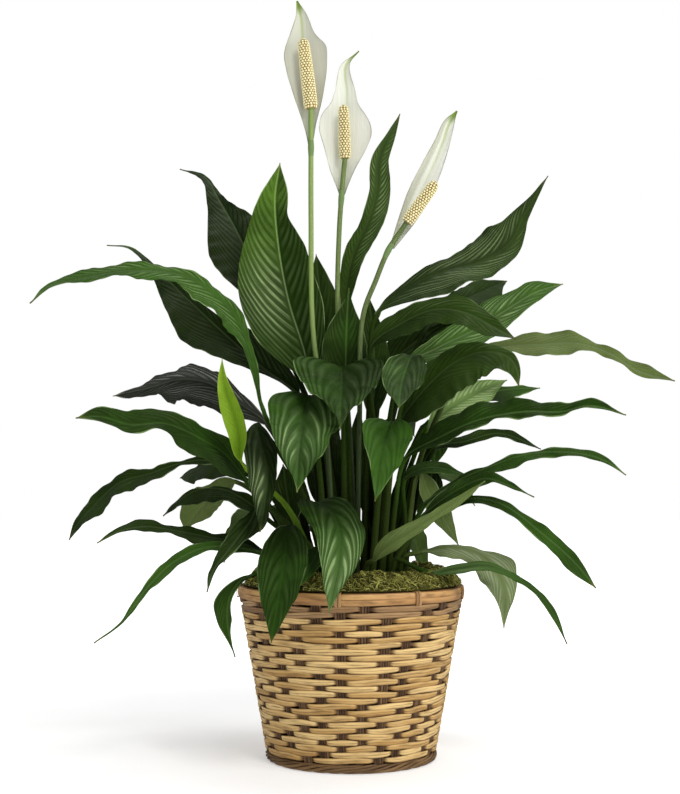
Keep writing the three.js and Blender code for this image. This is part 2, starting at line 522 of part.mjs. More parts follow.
// ---- turned parts ---------------------------------------------------------
// A ring-shaped solid: a closed section (radius, height) carried round the axis.
function ringSolid(section, count, shift = () => [0, 0]) {
  const points = [];
  const faces = [];
  const size = section.length;
  for (let k = 0; k < count; k += 1) {
    const turn = 2 * Math.PI * k / count;
    section.forEach(([radius, height], j) => {
      const [dr, dz] = shift(k, j);
      const r = radius + dr;
      points.push(new THREE.Vector3(r * Math.cos(turn), r * Math.sin(turn), height + dz));
    });
  }
  for (let k = 0; k < count; k += 1) {
    const next = (k + 1) % count;
    for (let j = 0; j < size; j += 1) {
      const a = k * size + j;
      const b = next * size + j;
      const c = next * size + (j + 1) % size;
      const d = k * size + (j + 1) % size;
      faces.push([a, b, c], [a, c, d]);
    }
  }
  return solidOf(points, faces);
}

// A solid turned about the axis: an open section from the axis below to the axis above.
function turnedSolid(section, count) {
  const low = new THREE.Vector3(0, 0, section[0][1]);
  const high = new THREE.Vector3(0, 0, section[section.length - 1][1]);
  const middle = section.slice(1, -1);
  const size = middle.length;
  const points = [];
  const faces = [];
  for (let k = 0; k < count; k += 1) {
    const turn = 2 * Math.PI * k / count;
    middle.forEach(([r, z]) => points.push(new THREE.Vector3(r * Math.cos(turn), r * Math.sin(turn), z)));
  }
  const lowIndex = points.push(low) - 1;
  const highIndex = points.push(high) - 1;
  for (let k = 0; k < count; k += 1) {
    const next = (k + 1) % count;
    faces.push([lowIndex, next * size, k * size]);
    faces.push([highIndex, k * size + size - 1, next * size + size - 1]);
    for (let j = 0; j + 1 < size; j += 1) {
      const a = k * size + j;
      const b = next * size + j;
      faces.push([a, b, b + 1], [a, b + 1, a + 1]);
    }
  }
  return solidOf(points, faces);
}

const wallRadius = (z) => BASE_RADIUS + TAPER * z;

// Woven wall: every row of cane swells out between its neighbours, and over every
// second stake it stands proud while over the ones between it dips behind.
function basketWall() {
  const low = FOOT_RING_TOP + 0.3;
  const high = BASKET_HEIGHT - RIM_BAND - 0.3;
  const pitch = (high - low) / WEAVE_ROWS;
  const section = [];
  for (let row = 0; row <= WEAVE_ROWS; row += 1) {
    const z = low + pitch * row;
    section.push([wallRadius(z) - 1.4, z]);
    if (row < WEAVE_ROWS) {
      section.push([wallRadius(z + pitch / 2) + 0.4, z + pitch / 2]);
    }
  }
  const outer = section.length;
  const half = (low + high) / 2;
  [high, half, low].forEach((z) => section.push([wallRadius(z) - WALL, z]));
  return ringSolid(section, STAKES, (k, j) => {
    const weave = j < outer && j % 2 === 1;
    const over = (k + (j - 1) / 2) % 2 === 0;
    return [weave ? (over ? 1.7 : -1.3) : 0, 0];
  });
}

function basketRim() {
  const low = BASKET_HEIGHT - RIM_BAND;
  const section = [
    [RIM_INNER, low], [RIM_OUTER - 1, low], [RIM_OUTER, low + 3], [RIM_OUTER, BASKET_HEIGHT - 3.5],
    [RIM_OUTER - 2, BASKET_HEIGHT], [RIM_INNER + 0.6, BASKET_HEIGHT],
  ];
  let rim = ringSolid(section, STAKES);
  const tall = RIM_BAND + 1;
  for (let k = 0; k < LASHINGS; k += 1) {
    const bearing = FIRST_LASHING + 360 / LASHINGS * k;
    const deep = RIM_OUTER - RIM_INNER + 0.5;
    const strip = wasm.Manifold.cube([deep, LASHING_WIDTH, tall - 1], true);
    const placed = strip.translate([(RIM_OUTER + RIM_INNER) / 2 + 0.75, 0, low + tall / 2 + 0.5]);
    rim = rim.add(placed.rotate([0, 0, bearing]));
  }
  return rim;
}

function basketFoot() {
  const inner = 80.3;
  const section = [
    [inner, 0], [BASE_RADIUS + 1.4, 0], [BASE_RADIUS + 2.8, 2.8], [BASE_RADIUS + 2.8, 6.4],
    [BASE_RADIUS + 1.2, FOOT_RING_TOP], [inner, FOOT_RING_TOP],
  ];
  return ringSolid(section, STAKES, (k, j) => {
    const lay = (k + (j === 3 ? 1 : 0)) % 2 === 0 ? 0.8 : -0.8;
    return j === 2 || j === 3 ? [lay, 0] : [0, 0];
  });
}

function basketFloor() {
  return turnedSolid([[0, 0], [79.8, 0], [79.8, FLOOR_THICK], [0, FLOOR_THICK]], STAKES);
}

const linerRadius = (z) => wallRadius(z) - WALL - GAP;

function linerCup() {
  const low = FLOOR_THICK + 0.3;
  return turnedSolid([
    [0, low], [linerRadius(low) - 3, low], [linerRadius(low + 3), low + 3], [linerRadius(LINER_TOP), LINER_TOP],
    [linerRadius(LINER_TOP) - LINER_WALL, LINER_TOP], [linerRadius(low + 3) - LINER_WALL, low + 3.6],
    [linerRadius(low) - 4, low + LINER_WALL], [0, low + LINER_WALL],
  ], STAKES);
}

function soilBody(cutters) {
  const low = FLOOR_THICK + 0.3 + LINER_WALL + 0.3;
  const inset = LINER_WALL + GAP;
  const body = turnedSolid([
    [0, low], [linerRadius(low) - 5, low], [linerRadius(low + 4) - inset, low + 4],
    [linerRadius(SOIL_SHOULDER) - inset, SOIL_SHOULDER], [CROWN_RADIUS + 0.8, SOIL_SHOULDER + 1],
    [CROWN_RADIUS - 1.5, SOIL_CROWN], [0, SOIL_CROWN],
  ], STAKES);
  return body.subtract(wasm.Manifold.union(cutters));
}

function mossRing() {
  const low = SOIL_SHOULDER + 1.4;
  const section = [
    [MOSS_INNER, low], [MOSS_OUTER - 2.5, low], [MOSS_OUTER, 168], [97, 176], [89, 182],
    [80, 184], [71, 181], [MOSS_INNER + 1, 172],
  ];
  return ringSolid(section, 36, (k, j) => {
    if (j < 3) {
      return [0, 0];
    }
    const lump = 2.6 * (random() - 0.5);
    return [j === 7 ? 0 : lump, 7 * (random() - 0.5)];
  });
}

// ---- bloom parts ----------------------------------------------------------
function stalkAxes(tangent) {
  return axesAt(tangent, 90, 0);
}

function stalkSolid(place, line, radius) {
  const upright = new THREE.Vector3(0, 0, 1);
  const rings = [roundSection(footPoint(place, SOIL_CROWN - ROOT_DEPTH), stalkAxes(upright), radius, 3)];
  const count = Math.round(line.total / 42);
  for (let j = 0; j <= count; j += 1) {
    const length = line.total * j / count;
    const tangent = j === 0 ? upright : line.tangent(length);
    rings.push(roundSection(line.at(length), stalkAxes(tangent), radius, 3));
  }
  return skinned(rings, () => false);
}

function spatheSolid(points, [half, peak], bearing, roll, fold) {
  const line = lineThrough(points);
  const rings = [];
  const parts = [0.03, 0.12, 0.24, 0.36, 0.5, 0.64, 0.78, 0.9, 1];
  parts.forEach((u) => {
    const length = line.total * u;
    const axes = axesAt(line.tangent(length), bearing, roll);
    const width = half * profile(0.03 + 0.965 * u, peak);
    rings.push(bladeSection(line.at(length), axes, 5, {
      low: Math.max(width, 1.3),
      high: Math.max(width, 1.3),
      fold: fold * (1 - 0.3 * u) + 14 * (1 - u) ** 2,
      droop: -0.1 + 0.1 * u,
      wave: 0.8 * Math.sin(9 * u),
    }));
  });
  return skinned(rings, (i) => i >= 5);
}

// Spadix: a blunt finger covered with rows of small raised florets.
function spadixSolid(from, to, radius) {
  const axis = to.clone().sub(from);
  const length = axis.length();
  const tangent = axis.normalize();
  const axes = axesAt(tangent, 90, 0);
  const count = Math.round(length / 5);
  const sides = 10;
  const points = [];
  const faces = [];
  for (let j = 0; j <= count; j += 1) {
    const u = j / count;
    const blunt = Math.min(1, Math.sqrt(Math.max(0.12, 1 - ((u - 0.86) / 0.16) ** 2 * (u > 0.86 ? 1 : 0))));
    const waist = u < 0.06 ? 0.82 : 1;
    for (let i = 0; i < sides; i += 1) {
      const turn = 2 * Math.PI * (i + (j % 2) * 0.5) / sides;
      const floret = (i + j) % 2 === 0 ? 0.55 : -0.35;
      const r = radius * blunt * waist + (j > 0 && j < count ? floret : 0);
      const point = from.clone().addScaledVector(tangent, length * u);
      point.addScaledVector(axes.across, r * Math.cos(turn)).addScaledVector(axes.upper, r * Math.sin(turn));
      points.push(point);
    }
  }
  const low = points.push(from.clone()) - 1;
  const high = points.push(to.clone().addScaledVector(tangent, 0.6)) - 1;
  for (let i = 0; i < sides; i += 1) {
    const next = (i + 1) % sides;
    for (let j = 0; j < count; j += 1) {
      const a = j * sides + i;
      const b = j * sides + next;
      const c = b + sides;
      const d = a + sides;
      if (j % 2 === 0) {
        faces.push([a, b, d], [b, c, d]);
      } else {
        faces.push([a, b, c], [a, c, d]);
      }
    }
    faces.push([low, next, i]);
    faces.push([high, count * sides + i, count * sides + next]);
  }
  return solidOf(points, faces);
}

// ---- assembly -------------------------------------------------------------
const group = new THREE.Group();
group.name = 'potted_peace_lily';

function addNode(name, solid, colour, roughness = 0.55) {
  const mesh = solid.getMesh();
  const geometry = new THREE.BufferGeometry();
  const stride = mesh.numProp;
  const places = new Float32Array(mesh.numVert * 3);
  for (let i = 0; i < mesh.numVert; i += 1) {
    for (let c = 0; c < 3; c += 1) {
      places[i * 3 + c] = mesh.vertProperties[i * stride + c];
    }
  }
  geometry.setAttribute('position', new THREE.BufferAttribute(places, 3));
  geometry.setIndex(new THREE.BufferAttribute(new Uint32Array(mesh.triVerts), 1));
  geometry.computeVertexNormals();
  const material = new THREE.MeshStandardMaterial({ color: COLOURS[colour], roughness });
  const part = new THREE.Mesh(geometry, material);
  part.name = name;
  group.add(part);
}

function holeCutter(place, bearing, radius, across) {
  const clear = radius + GAP / Math.cos(rad(66 / (across - 1)));
  const axes = axesAt(new THREE.Vector3(0, 0, 1), bearing, 0);
  const wide = clear + 0.12;
  const rings = [SOIL_CROWN - ROOT_DEPTH - 0.3, SOIL_CROWN + 5].map((z) => (
    roundSection(footPoint(place, z), axes, wide, across)));
  return skinned(rings, () => false);
}

const cutters = [];
const feet = new Map();
const rows = [
  ...LEAVES.map((row) => ({ row, points: row[2].map(seen) })),
  ...FAR_LEAVES.map((row) => ({ row, points: row[2].map(([r, z]) => footPoint([r, row[4]], z)) })),
];
rows.forEach(({ row }) => feet.set(row[0], row[1]));
const solids = new Map();
rows.forEach(({ row, points }) => {
  const [name, place, , , bearing] = row;
  const partner = row[11];
  const solid = leafSolid(row, points, feet);
  if (partner === '') {
    cutters.push(holeCutter(place, bearing, PETIOLE_FOOT, row[9]));
  }
  solids.set(name, { solid, partner, colour: row[10] });
});
solids.forEach((leaf, name) => {
  if (leaf.partner === '') {
    let whole = leaf.solid;
    solids.forEach((other) => {
      if (other.partner === name) {
        whole = whole.add(other.solid);
      }
    });
    addNode(name, whole, leaf.colour, 0.42);
  }
});

BLOOMS.forEach(([name, place, stalk, spathe, half, bearing, roll, fold, top, radius]) => {
  const foot = footPoint(place, SOIL_CROWN + 2);
  const way = petiolePoints(foot, SOIL_CROWN + 2, seen(stalk[0]));
  const line = lineThrough([...way, ...stalk.map(seen)]);
  addNode(`stalk_${name}`, stalkSolid(place, line, STALK), 'stalk');
  cutters.push(holeCutter(place, 90, STALK, 3));
  const blade = spatheSolid(spathe.map(seen), half, bearing, roll, fold);
  const neck = line.total - seen(stalk[stalk.length - 1]).distanceTo(seen(spathe[0]));
  const collarLine = (length) => roundSection(line.at(length), stalkAxes(line.tangent(length)), STALK + 2.2, 3);
  const collar = skinned([collarLine(neck - 1), collarLine(neck + 6)], () => false);
  const clear = stalkSolid(place, line, STALK + 0.5);
  addNode(`spathe_${name}`, blade.add(collar).subtract(clear), 'spathe', 0.5);
  const base = line.at(line.total).addScaledVector(line.tangent(line.total), 0.35);
  addNode(`spadix_${name}`, spadixSolid(base, seen(top), radius), 'spadix', 0.7);
});

addNode('basket_wall', basketWall(), 'cane', 0.6);
addNode('basket_rim', basketRim(), 'rim', 0.55);
addNode('basket_foot', basketFoot(), 'base', 0.6);
addNode('basket_floor', basketFloor(), 'base', 0.7);
addNode('liner', linerCup(), 'liner', 0.5);
addNode('soil', soilBody(cutters), 'soil', 0.9);
addNode('moss', mossRing(), 'moss', 0.9);

export default group;
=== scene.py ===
"""Potted peace lily in a woven basket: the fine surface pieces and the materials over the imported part."""
import math

import bpy
import numpy as np
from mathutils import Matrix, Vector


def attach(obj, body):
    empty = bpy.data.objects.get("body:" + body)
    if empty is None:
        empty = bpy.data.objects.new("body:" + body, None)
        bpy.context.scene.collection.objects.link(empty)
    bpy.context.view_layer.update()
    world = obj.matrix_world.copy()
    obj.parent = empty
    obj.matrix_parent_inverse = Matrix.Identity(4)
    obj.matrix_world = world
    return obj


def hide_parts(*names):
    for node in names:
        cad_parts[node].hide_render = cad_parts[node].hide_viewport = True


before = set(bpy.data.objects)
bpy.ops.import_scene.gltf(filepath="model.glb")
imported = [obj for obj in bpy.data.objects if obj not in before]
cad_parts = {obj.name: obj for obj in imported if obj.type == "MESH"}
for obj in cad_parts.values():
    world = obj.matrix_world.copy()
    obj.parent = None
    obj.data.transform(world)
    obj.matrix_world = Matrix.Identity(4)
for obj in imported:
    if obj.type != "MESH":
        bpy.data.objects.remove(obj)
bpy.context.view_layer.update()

MM = 0.001
FULL_TURN = 2 * np.pi

# ---- dimensions of the part, in millimetres -------------------------------
BASKET_HEIGHT = 170
BASE_RADIUS = 81
TAPER = 0.1775
STAKES = 30
WEAVE_ROWS = 26
FOOT_RING_TOP = 9
RIM_BAND = 12
LASHINGS = 9
FIRST_LASHING = -96.7
SOIL_CROWN = 166
FOOT_RISE = 2
ROOT = 12
PETIOLE_FOOT = 3.0
PETIOLE_TOP = 2.1
STALK = 2.6
STALK_SIDES = 16
MOSS_INNER = 62.8
MOSS_MIDDLE = 81
MOSS_EDGE = 100.3
MOSS_SPILL = 7.3
MOSS_LIP = 102.8
MOSS_FLOOR = 151.6
LINER_EDGE = 170.5
# The eye, how far the picture plane stands from it, its lean in degrees, and the height of its middle.
EYE = np.array([-11.0, -1400.0, 281.0])
VIEW_REACH = 1395
VIEW_TILT = 3.1
VIEW_RISE = 359
FRAME_HEIGHT = 794

# ---- leaves ---------------------------------------------------------------
# name, foot [radius, bearing] or the leaf whose foot it shares, colour, half width, where it is widest,
# bearing it leans to, roll at base and tip, fold, waves of the margin, their height, and the midrib from
# the blade's base to its tip: across, up and depth of each point
LEAVES = [
    ("a1", [12, 120], "deep", 31, 0.42, 90, 10, 0, 14, 3, 2.5, [-84, 446, 60, -108, 511, 87, -131, 554, 122,
     -146, 578, 148, -171, 587, 172]),
    ("a2", [12, 180], "bright", 44, 0.42, 90, 0, 0, 24, 4, 2.5, [-39, 373, 15, -48, 409, 21, -62, 454, 29,
     -72, 506, 39, -76, 556, 49, -71, 593, 60]),
    ("a3", [26, 180], "mid", 27, 0.36, 190, -56, -48, 16, 6, 3, [-88, 345, -12, -98, 392, -20, -113, 434, -31,
     -136, 461, -49, -168, 480, -68, -216, 485, -92, -264, 478, -121, -301, 469, -145, -321, 453, -170]),
    ("a4", [26, 150], "deep", 28, 0.42, 95, 0, 0, 12, 4, 2.5, [-51, 357, 20, -88, 388, 35, -129, 424, 54,
     -166, 459, 73, -196, 488, 90, -221, 508, 105, -244, 511, 117]),
    ("a5", [40, 160], "grey", 24, 0.42, 160, -58, -50, 14, 5, 4, [-83, 330, 30, -111, 352, 51, -141, 372, 74,
     -171, 376, 97, -201, 368, 118, -238, 360, 140]),
    ("a6", [42, 216], "young", 15, 0.4, 90, 0, 0, 46, 2, 0.5, [-109, 294, -60, -113, 326, -71, -122, 356, -80,
     -128, 378, -90, -129, 398, -100]),
    ("b1", [54, 195], "mid", 24, 0.45, 195, -55, -60, 14, 4, 2.5, [-105, 274, -30, -126, 301, -48, -151, 317,
     -67, -186, 332, -89, -221, 331, -112, -251, 339, -133, -275, 338, -150]),
    ("b2", [54, 180], "deep", 17, 0.5, 165, -50, -50, 14, 5, 2.5, [-117, 286, 5, -146, 295, 11, -171, 292, 19,
     -201, 282, 27, -231, 273, 34, -256, 251, 41, -273, 232, 46, -282, 216, 51]),
    ("b3", "b4", "deep", 14, 0.4, 150, -52, -52, 10, 3, 1.5, [-105, 283, 34, -138, 291, 61, -156, 286, 87,
     -171, 278, 115]),
    ("b4", [54, 150], "olive", 22, 0.4, 140, 34, 30, 10, 3, 2, [-115, 274, 60, -136, 261, 88, -153, 246, 116,
     -167, 226, 145]),
    ("b5", "b1", "deep", 14, 0.4, 160, -52, -52, 12, 4, 2, [-89, 241, -10, -104, 254, -9, -126, 266, -6, -151,
     266, -3, -171, 256, 1, -188, 240, 5]),
    ("b6", [54, 165], "deep", 14, 0.5, 200, -42, -42, 12, 4, 1.5, [-83, 202, 10, -111, 213, -1, -146, 219,
     -14, -176, 225, -28, -206, 229, -42, -233, 224, -57, -254, 213, -70]),
    ("b7", [54, 210], "mid", 13, 0.42, 200, -50, -50, 12, 5, 1.5, [-89, 202, -30, -116, 208, -45, -146, 208,
     -62, -175, 195, -81, -200, 172, -100, -214, 154, -118, -230, 133, -137, -257, 113, -160]),
    ("b8", [54, 225], "deep", 20, 0.4, 240, -20, -20, 12, 3, 2, [-89, 253, -60, -101, 234, -80, -118, 211,
     -103, -138, 184, -128, -144, 164, -150]),
    ("b9", "b7", "mid", 13, 0.4, 220, -60, -60, 12, 3, 1, [-98, 181, -40, -111, 175, -48, -122, 157, -57,
     -124, 135, -66, -120, 114, -75, -116, 99, -85]),
    ("c1", [30, 214], "mid", 36, 0.4, 260, 0, 0, 14, 4, 2.5, [-41, 358, -22, -48, 331, -70, -52, 301, -113,
     -54, 264, -148]),
    ("c2", [40, 233], "deep", 21, 0.4, 250, -10, -10, 16, 4, 2, [-93, 331, -36, -89, 311, -56, -83, 281, -84,
     -86, 251, -111, -91, 224, -135]),
    ("c3", [54, 240], "mid", 25, 0.4, 250, 0, 0, 14, 4, 1.5, [-61, 229, -70, -65, 206, -98, -69, 176, -128,
     -74, 144, -149, -80, 113, -165]),
    ("c4", [54, 255], "mid", 24, 0.4, 270, 0, 0, 12, 4, 2, [-36, 251, -55, -20, 243, -88, -11, 221, -117, -12,
     191, -140, -17, 166, -161, -22, 143, -178]),
    ("c5", "c4", "mid", 12, 0.4, 250, 0, 0, 12, 2, 1, [-29, 208, -70, -39, 192, -100, -54, 168, -130]),
    ("c6", [40, 300], "mid", 26, 0.4, 270, 0, 0, 14, 3, 2.5, [41, 332, -60, 34, 316, -86, 29, 291, -117, 24,
     255, -150]),
    ("c7", [12, 240], "mid", 40, 0.4, 270, 0, 0, 12, 4, 2.5, [-9, 386, 5, -9, 371, -43, -10, 351, -88, -11,
     326, -120]),
    ("c8", [40, 316], "mid", 22, 0.4, 270, 0, 0, 12, 3, 2, [61, 398, -45, 55, 386, -73, 50, 368, -104, 48,
     348, -135]),
    ("c9", [0, 0], "mid", 25, 0.4, 90, 0, 0, 16, 3, 1.5, [-5, 376, 13, -5, 406, 11, -4, 436, 13, -2, 468,
     17]),
    ("c10", [26, 120], "deep", 24, 0.4, 90, 0, 0, 16, 3, 2, [-27, 372, 44, -27, 420, 58, -31, 464, 73, -35,
     502, 88]),
    ("d1", [26, 90], "deep", 19.5, 0.52, 90, -20, 20, 20, 4, 3, [-7, 430, 46, -4, 466, 52, 2, 498, 58, 16,
     531, 68, 25, 562, 80, 28, 596, 92, 38, 622, 103, 49, 642, 115]),
    ("d2", [12, 0], "deep", 21, 0.5, 70, 34, 30, 16, 5, 2.5, [25, 441, 10, 50, 464, 18, 89, 483, 29, 129, 494,
     41, 158, 512, 54, 173, 540, 66, 189, 568, 78, 197, 580, 90]),
    ("d3", [26, 60], "deep", 22, 0.5, 75, 28, 28, 14, 3, 2, [75, 426, 70, 105, 451, 99, 131, 464, 128, 156,
     475, 160]),
    ("d4", [26, 30], "mid", 24, 0.42, 75, 26, 34, 14, 4, 2, [52, 386, 30, 87, 408, 43, 124, 426, 59, 154, 445,
     75, 184, 463, 92, 212, 472, 110]),
    ("d5", [26, 0], "deep", 20, 0.4, 340, 64, 60, 14, 4, 2.5, [21, 408, -10, 49, 431, -25, 84, 446, -43, 114,
     443, -61, 144, 428, -80, 165, 417, -100]),
    ("d6", [40, 8], "olive", 15, 0.45, 345, 60, 60, 14, 5, 3, [127, 404, 10, 154, 409, 2, 189, 411, -9, 229,
     412, -23, 261, 401, -34, 289, 384, -47, 324, 375, -60]),
    ("d8", [28, 335], "deep", 27, 0.4, 335, 66, 60, 14, 4, 2, [49, 331, -18, 74, 366, -34, 104, 393, -46, 134,
     404, -55, 157, 399, -65, 166, 386, -75, 168, 369, -85]),
    ("d9", [40, 20], "bright", 20, 0.4, 60, 25, 25, 14, 3, 2, [77, 328, 20, 98, 347, 30, 124, 362, 42, 156,
     376, 54]),
    ("d11", [40, 40], "mid", 13, 0.4, 40, 45, 45, 12, 3, 1.5, [119, 354, 50, 149, 365, 73, 189, 368, 100]),
    ("d10", [40, 340], "mid", 19, 0.42, 345, 55, 55, 14, 6, 3, [54, 296, -20, 89, 318, -33, 129, 336, -48,
     174, 344, -64, 211, 344, -79, 239, 350, -95, 275, 341, -110]),
    ("d12", [54, 15], "deep", 13, 0.4, 30, 50, 50, 12, 3, 1.5, [84, 306, 20, 114, 314, 37, 149, 322, 58, 190,
     307, 80]),
    ("d13", [54, 345], "mid", 12, 0.5, 345, 55, 55, 12, 5, 2, [74, 251, -24, 104, 273, -32, 139, 289, -41,
     179, 302, -53, 224, 303, -66, 252, 296, -78, 275, 281, -90]),
    ("d15", [54, 330], "mid", 14, 0.4, 335, 60, 58, 12, 4, 2, [74, 241, -40, 104, 264, -57, 134, 277, -77,
     159, 270, -98, 183, 259, -120]),
    ("d16", [54, 285], "olive", 20, 0.3, 340, -62, -62, 12, 4, 1.5, [23, 196, -68, 34, 208, -81, 56, 222, -94,
     84, 240, -107, 112, 259, -121, 134, 275, -135]),
    ("d14", [54, 315], "mid", 12, 0.5, 345, 58, 58, 12, 4, 1.5, [99, 246, -50, 122, 257, -63, 152, 251, -77,
     189, 224, -94, 221, 196, -112, 245, 168, -130]),
    ("d17", [54, 356], "olive", 14, 0.4, 300, 0, 0, 12, 2, 1, [68, 284, -3, 78, 262, -3, 94, 234, -4, 108,
     210, -5]),
    ("d18", "d15", "olive", 20, 0.5, 340, 38, 62, 10, 4, 1.5, [72, 204, -30, 101, 209, -40, 133, 199, -51,
     152, 171, -60, 153, 128, -66]),
    ("d19", "d14", "mid", 9, 0.4, 330, 50, 50, 12, 4, 1, [79, 183, -54, 104, 187, -64, 137, 190, -76, 169,
     176, -89, 187, 163, -101, 202, 143, -116, 216, 112, -130]),
    ("e1", [54, 30], "deep", 15, 0.4, 270, 0, 0, 12, 2, 1, [81, 286, 42, 77, 266, 40, 66, 244, 38]),
    ("e2", "d17", "mid", 10, 0.4, 0, 40, 40, 12, 2, 1, [54, 276, -3, 79, 288, -3, 118, 280, -3]),
    ("e3", "d11", "mid", 17, 0.4, 270, 0, 0, 12, 2, 1, [77, 335, 40, 83, 314, 40, 84, 290, 40]),
    ("d7", "d3", "deep", 24, 0.4, 80, 0, 0, 14, 3, 2, [36, 384, 66, 62, 412, 72, 92, 430, 78, 120, 436, 84]),
    ("f1", [40, 120], "deep", 24, 0.4, 90, 0, 0, 14, 3, 2, [-18, 236, 40, -22, 276, 50, -26, 306, 62, -30,
     336, 78]),
    ("f2", "d5", "deep", 11.5, 0.4, 90, 0, 0, 14, 3, 2, [14.5, 240, 13, 17, 276, 18, 19.5, 310, 21, 22.5, 346,
     25]),
    ("f3", "d5", "deep", 17, 0.4, 90, 0, 0, 14, 2, 2, [21, 336, 26, 24, 376, 30, 22, 420, 37, 18, 460, 44]),
    ("f5", "d1", "deep", 9, 0.4, 90, 0, 0, 14, 2, 2, [5, 280, 40, 6, 312, 45, 8, 350, 52]),
    ("f4", "b1", "deep", 15, 0.4, 90, 0, 0, 14, 2, 2, [-58, 232, -12, -64, 262, -8, -68, 292, -3]),
]
# Leaves of the far side, whose midrib has distance from the axis and height of each point.
FAR_LEAVES = [
    ("k1", [54, 56], "mid", 24, 0.4, 50, 0, 0, 14, 4, 3, [72, 240, 105, 268, 145, 280, 185, 270, 218, 244]),
    ("k2", [54, 72], "deep", 28, 0.4, 68, 0, 0, 14, 4, 3, [66, 250, 92, 300, 124, 330, 160, 338, 196, 322]),
    ("k3", [54, 94], "mid", 22, 0.4, 94, 0, 0, 14, 4, 2.5, [70, 236, 104, 262, 142, 270, 180, 256, 208, 226]),
    ("k4", [54, 116], "deep", 27, 0.4, 112, 0, 0, 14, 4, 3, [66, 262, 92, 312, 124, 346, 158, 358, 190, 350]),
    ("k5", [54, 135], "mid", 24, 0.4, 134, 0, 0, 14, 4, 2.5, [70, 226, 104, 241, 140, 240, 176, 218, 200,
     182]),
    ("k6", "k1", "mid", 17, 0.4, 64, 0, 0, 12, 3, 2, [72, 214, 108, 226, 146, 218, 178, 190, 196, 154]),
    ("k7", "k4", "deep", 17, 0.4, 116, 0, 0, 12, 3, 2, [72, 212, 108, 222, 146, 212, 176, 184, 192, 148]),
]
# Blooms: name, foot [radius, bearing], the stalk's points, the spathe's midrib, its bearing, roll and
# fold, top and radius of the spadix, how light the stalk is, how grey the spathe is painted for shade
BLOOMS = [
    ("left", [19, 215], [-38, 426, 0, -40, 540, -3, -40, 611, -4, -40, 648, -4],
     [-40.5, 608, 1, -41, 641, 7, -44, 681, 10, -48, 711, 11, -50, 738, 9, -54, 755, 6],
     90, 0, 26, [-48, 717, -3], 6.4, 0.85, 0.6),
    ("middle", [12, 60], [-13, 430, 22, -12, 520, 22, -9, 566, 22, -6, 598, 22],
     [-9, 558, 27, -8, 591, 33, -5, 626, 36, -4, 661, 36, -5, 690, 33, 8, 705, 30],
     90, 0, 22, [-7.5, 651, 22], 5.6, 0.3, 0.05),
    ("right", [12, 300], [12, 440, 0, 25, 476, -4, 38, 507, -7, 56, 534, -10],
     [39.5, 505, -5, 54, 532, 4, 68, 561, 9, 82, 590, 10, 92, 614, 9, 98, 632, 6, 106, 645, 3],
     80, 8, 22, [85, 574, -13], 5.8, 0.1, 0.05),
]


# ---- geometry helpers -----------------------------------------------------
def unit(vectors):
    return vectors / np.linalg.norm(vectors, axis=-1, keepdims=True)


def smooth(x, low, high):
    """0 below low, 1 above high, and a soft change between."""
    t = np.clip((x - low) / (high - low), 0, 1)
    return t * t * (3 - 2 * t)


def around(r, turn, z):
    """Points at a distance from the basket's axis, a bearing in radians and a height."""
    return np.stack(np.broadcast_arrays(r * np.cos(turn), r * np.sin(turn), z), -1)


def full_circle(count):
    return FULL_TURN * np.arange(count) / count


def two_faced(top, under):
    """Values of a blade's upper points and, in reverse order, of its lower ones."""
    return np.concatenate([top, under[:, ::-1]], 1)


TILT_COS = math.cos(math.radians(VIEW_TILT))
TILT_SIN = math.sin(math.radians(VIEW_TILT))


def seen(point):
    """A point read off the leaning picture plane, pushed along its line of sight to its depth."""
    x, z, y = point
    up = z - VIEW_RISE
    reach = (y - EYE[1]) / (VIEW_REACH * TILT_COS - up * TILT_SIN)
    rise = VIEW_REACH * TILT_SIN + up * TILT_COS
    return np.array([EYE[0] + (x - EYE[0]) * reach, y, EYE[2] + rise * reach])


def all_seen(numbers):
    return [seen(p) for p in np.reshape(numbers, (-1, 3))]


def picture(points):
    """Where points fall in the picture plane, in the units of the tables."""
    away = points - EYE
    forward = away[..., 1] * TILT_COS + away[..., 2] * TILT_SIN
    upward = away[..., 2] * TILT_COS - away[..., 1] * TILT_SIN
    return np.stack([away[..., 0], upward], -1) * (VIEW_REACH / forward)[..., None]


class Line:
    """A centripetal curve through points, measured along its length."""

    steps = 60

    def __init__(self, points):
        p = np.array(points, float)
        p = np.vstack([2 * p[0] - p[1], p, 2 * p[-1] - p[-2]])
        self.samples = np.vstack([self.segment(*p[k:k + 4]) for k in range(len(p) - 3)] + [p[-2]])
        self.lengths = np.concatenate([[0], np.cumsum(np.linalg.norm(np.diff(self.samples, axis=0), axis=1))])
        self.total = self.lengths[-1]

    def segment(self, a, b, c, d):
        g0, g1, g2 = [max(np.linalg.norm(step) ** 0.5, 1e-4) for step in (b - a, c - b, d - c)]
        start = ((b - a) / g0 - (c - a) / (g0 + g1) + (c - b) / g1) * g1
        end = ((c - b) / g1 - (d - b) / (g1 + g2) + (d - c) / g2) * g1
        w = np.arange(self.steps)[:, None] / self.steps
        bow = -3 * b + 3 * c - 2 * start - end
        return b + start * w + bow * w ** 2 + (2 * b - 2 * c + start + end) * w ** 3

    def at(self, length):
        return np.stack([np.interp(length, self.lengths, self.samples[:, c]) for c in range(3)], -1)

    def tangent(self, length):
        length = np.asarray(length, float)
        return unit(self.at(np.minimum(length + 1.5, self.total)) - self.at(np.maximum(length - 1.5, 0)))

    def at_point(self, index):
        return self.lengths[self.steps * index]


def axes_at(tangent, bearing, roll):
    """Across and upper-face directions of a blade that leans to a bearing, for many stations at once."""
    turn = math.radians(bearing)
    flat = np.array([-math.sin(turn), math.cos(turn), 0])
    across = unit(flat - (tangent @ flat)[..., None] * tangent)
    angle = np.radians(roll)[..., None]
    turned = across * np.cos(angle) + np.cross(tangent, across) * np.sin(angle)
    return turned, np.cross(tangent, turned)


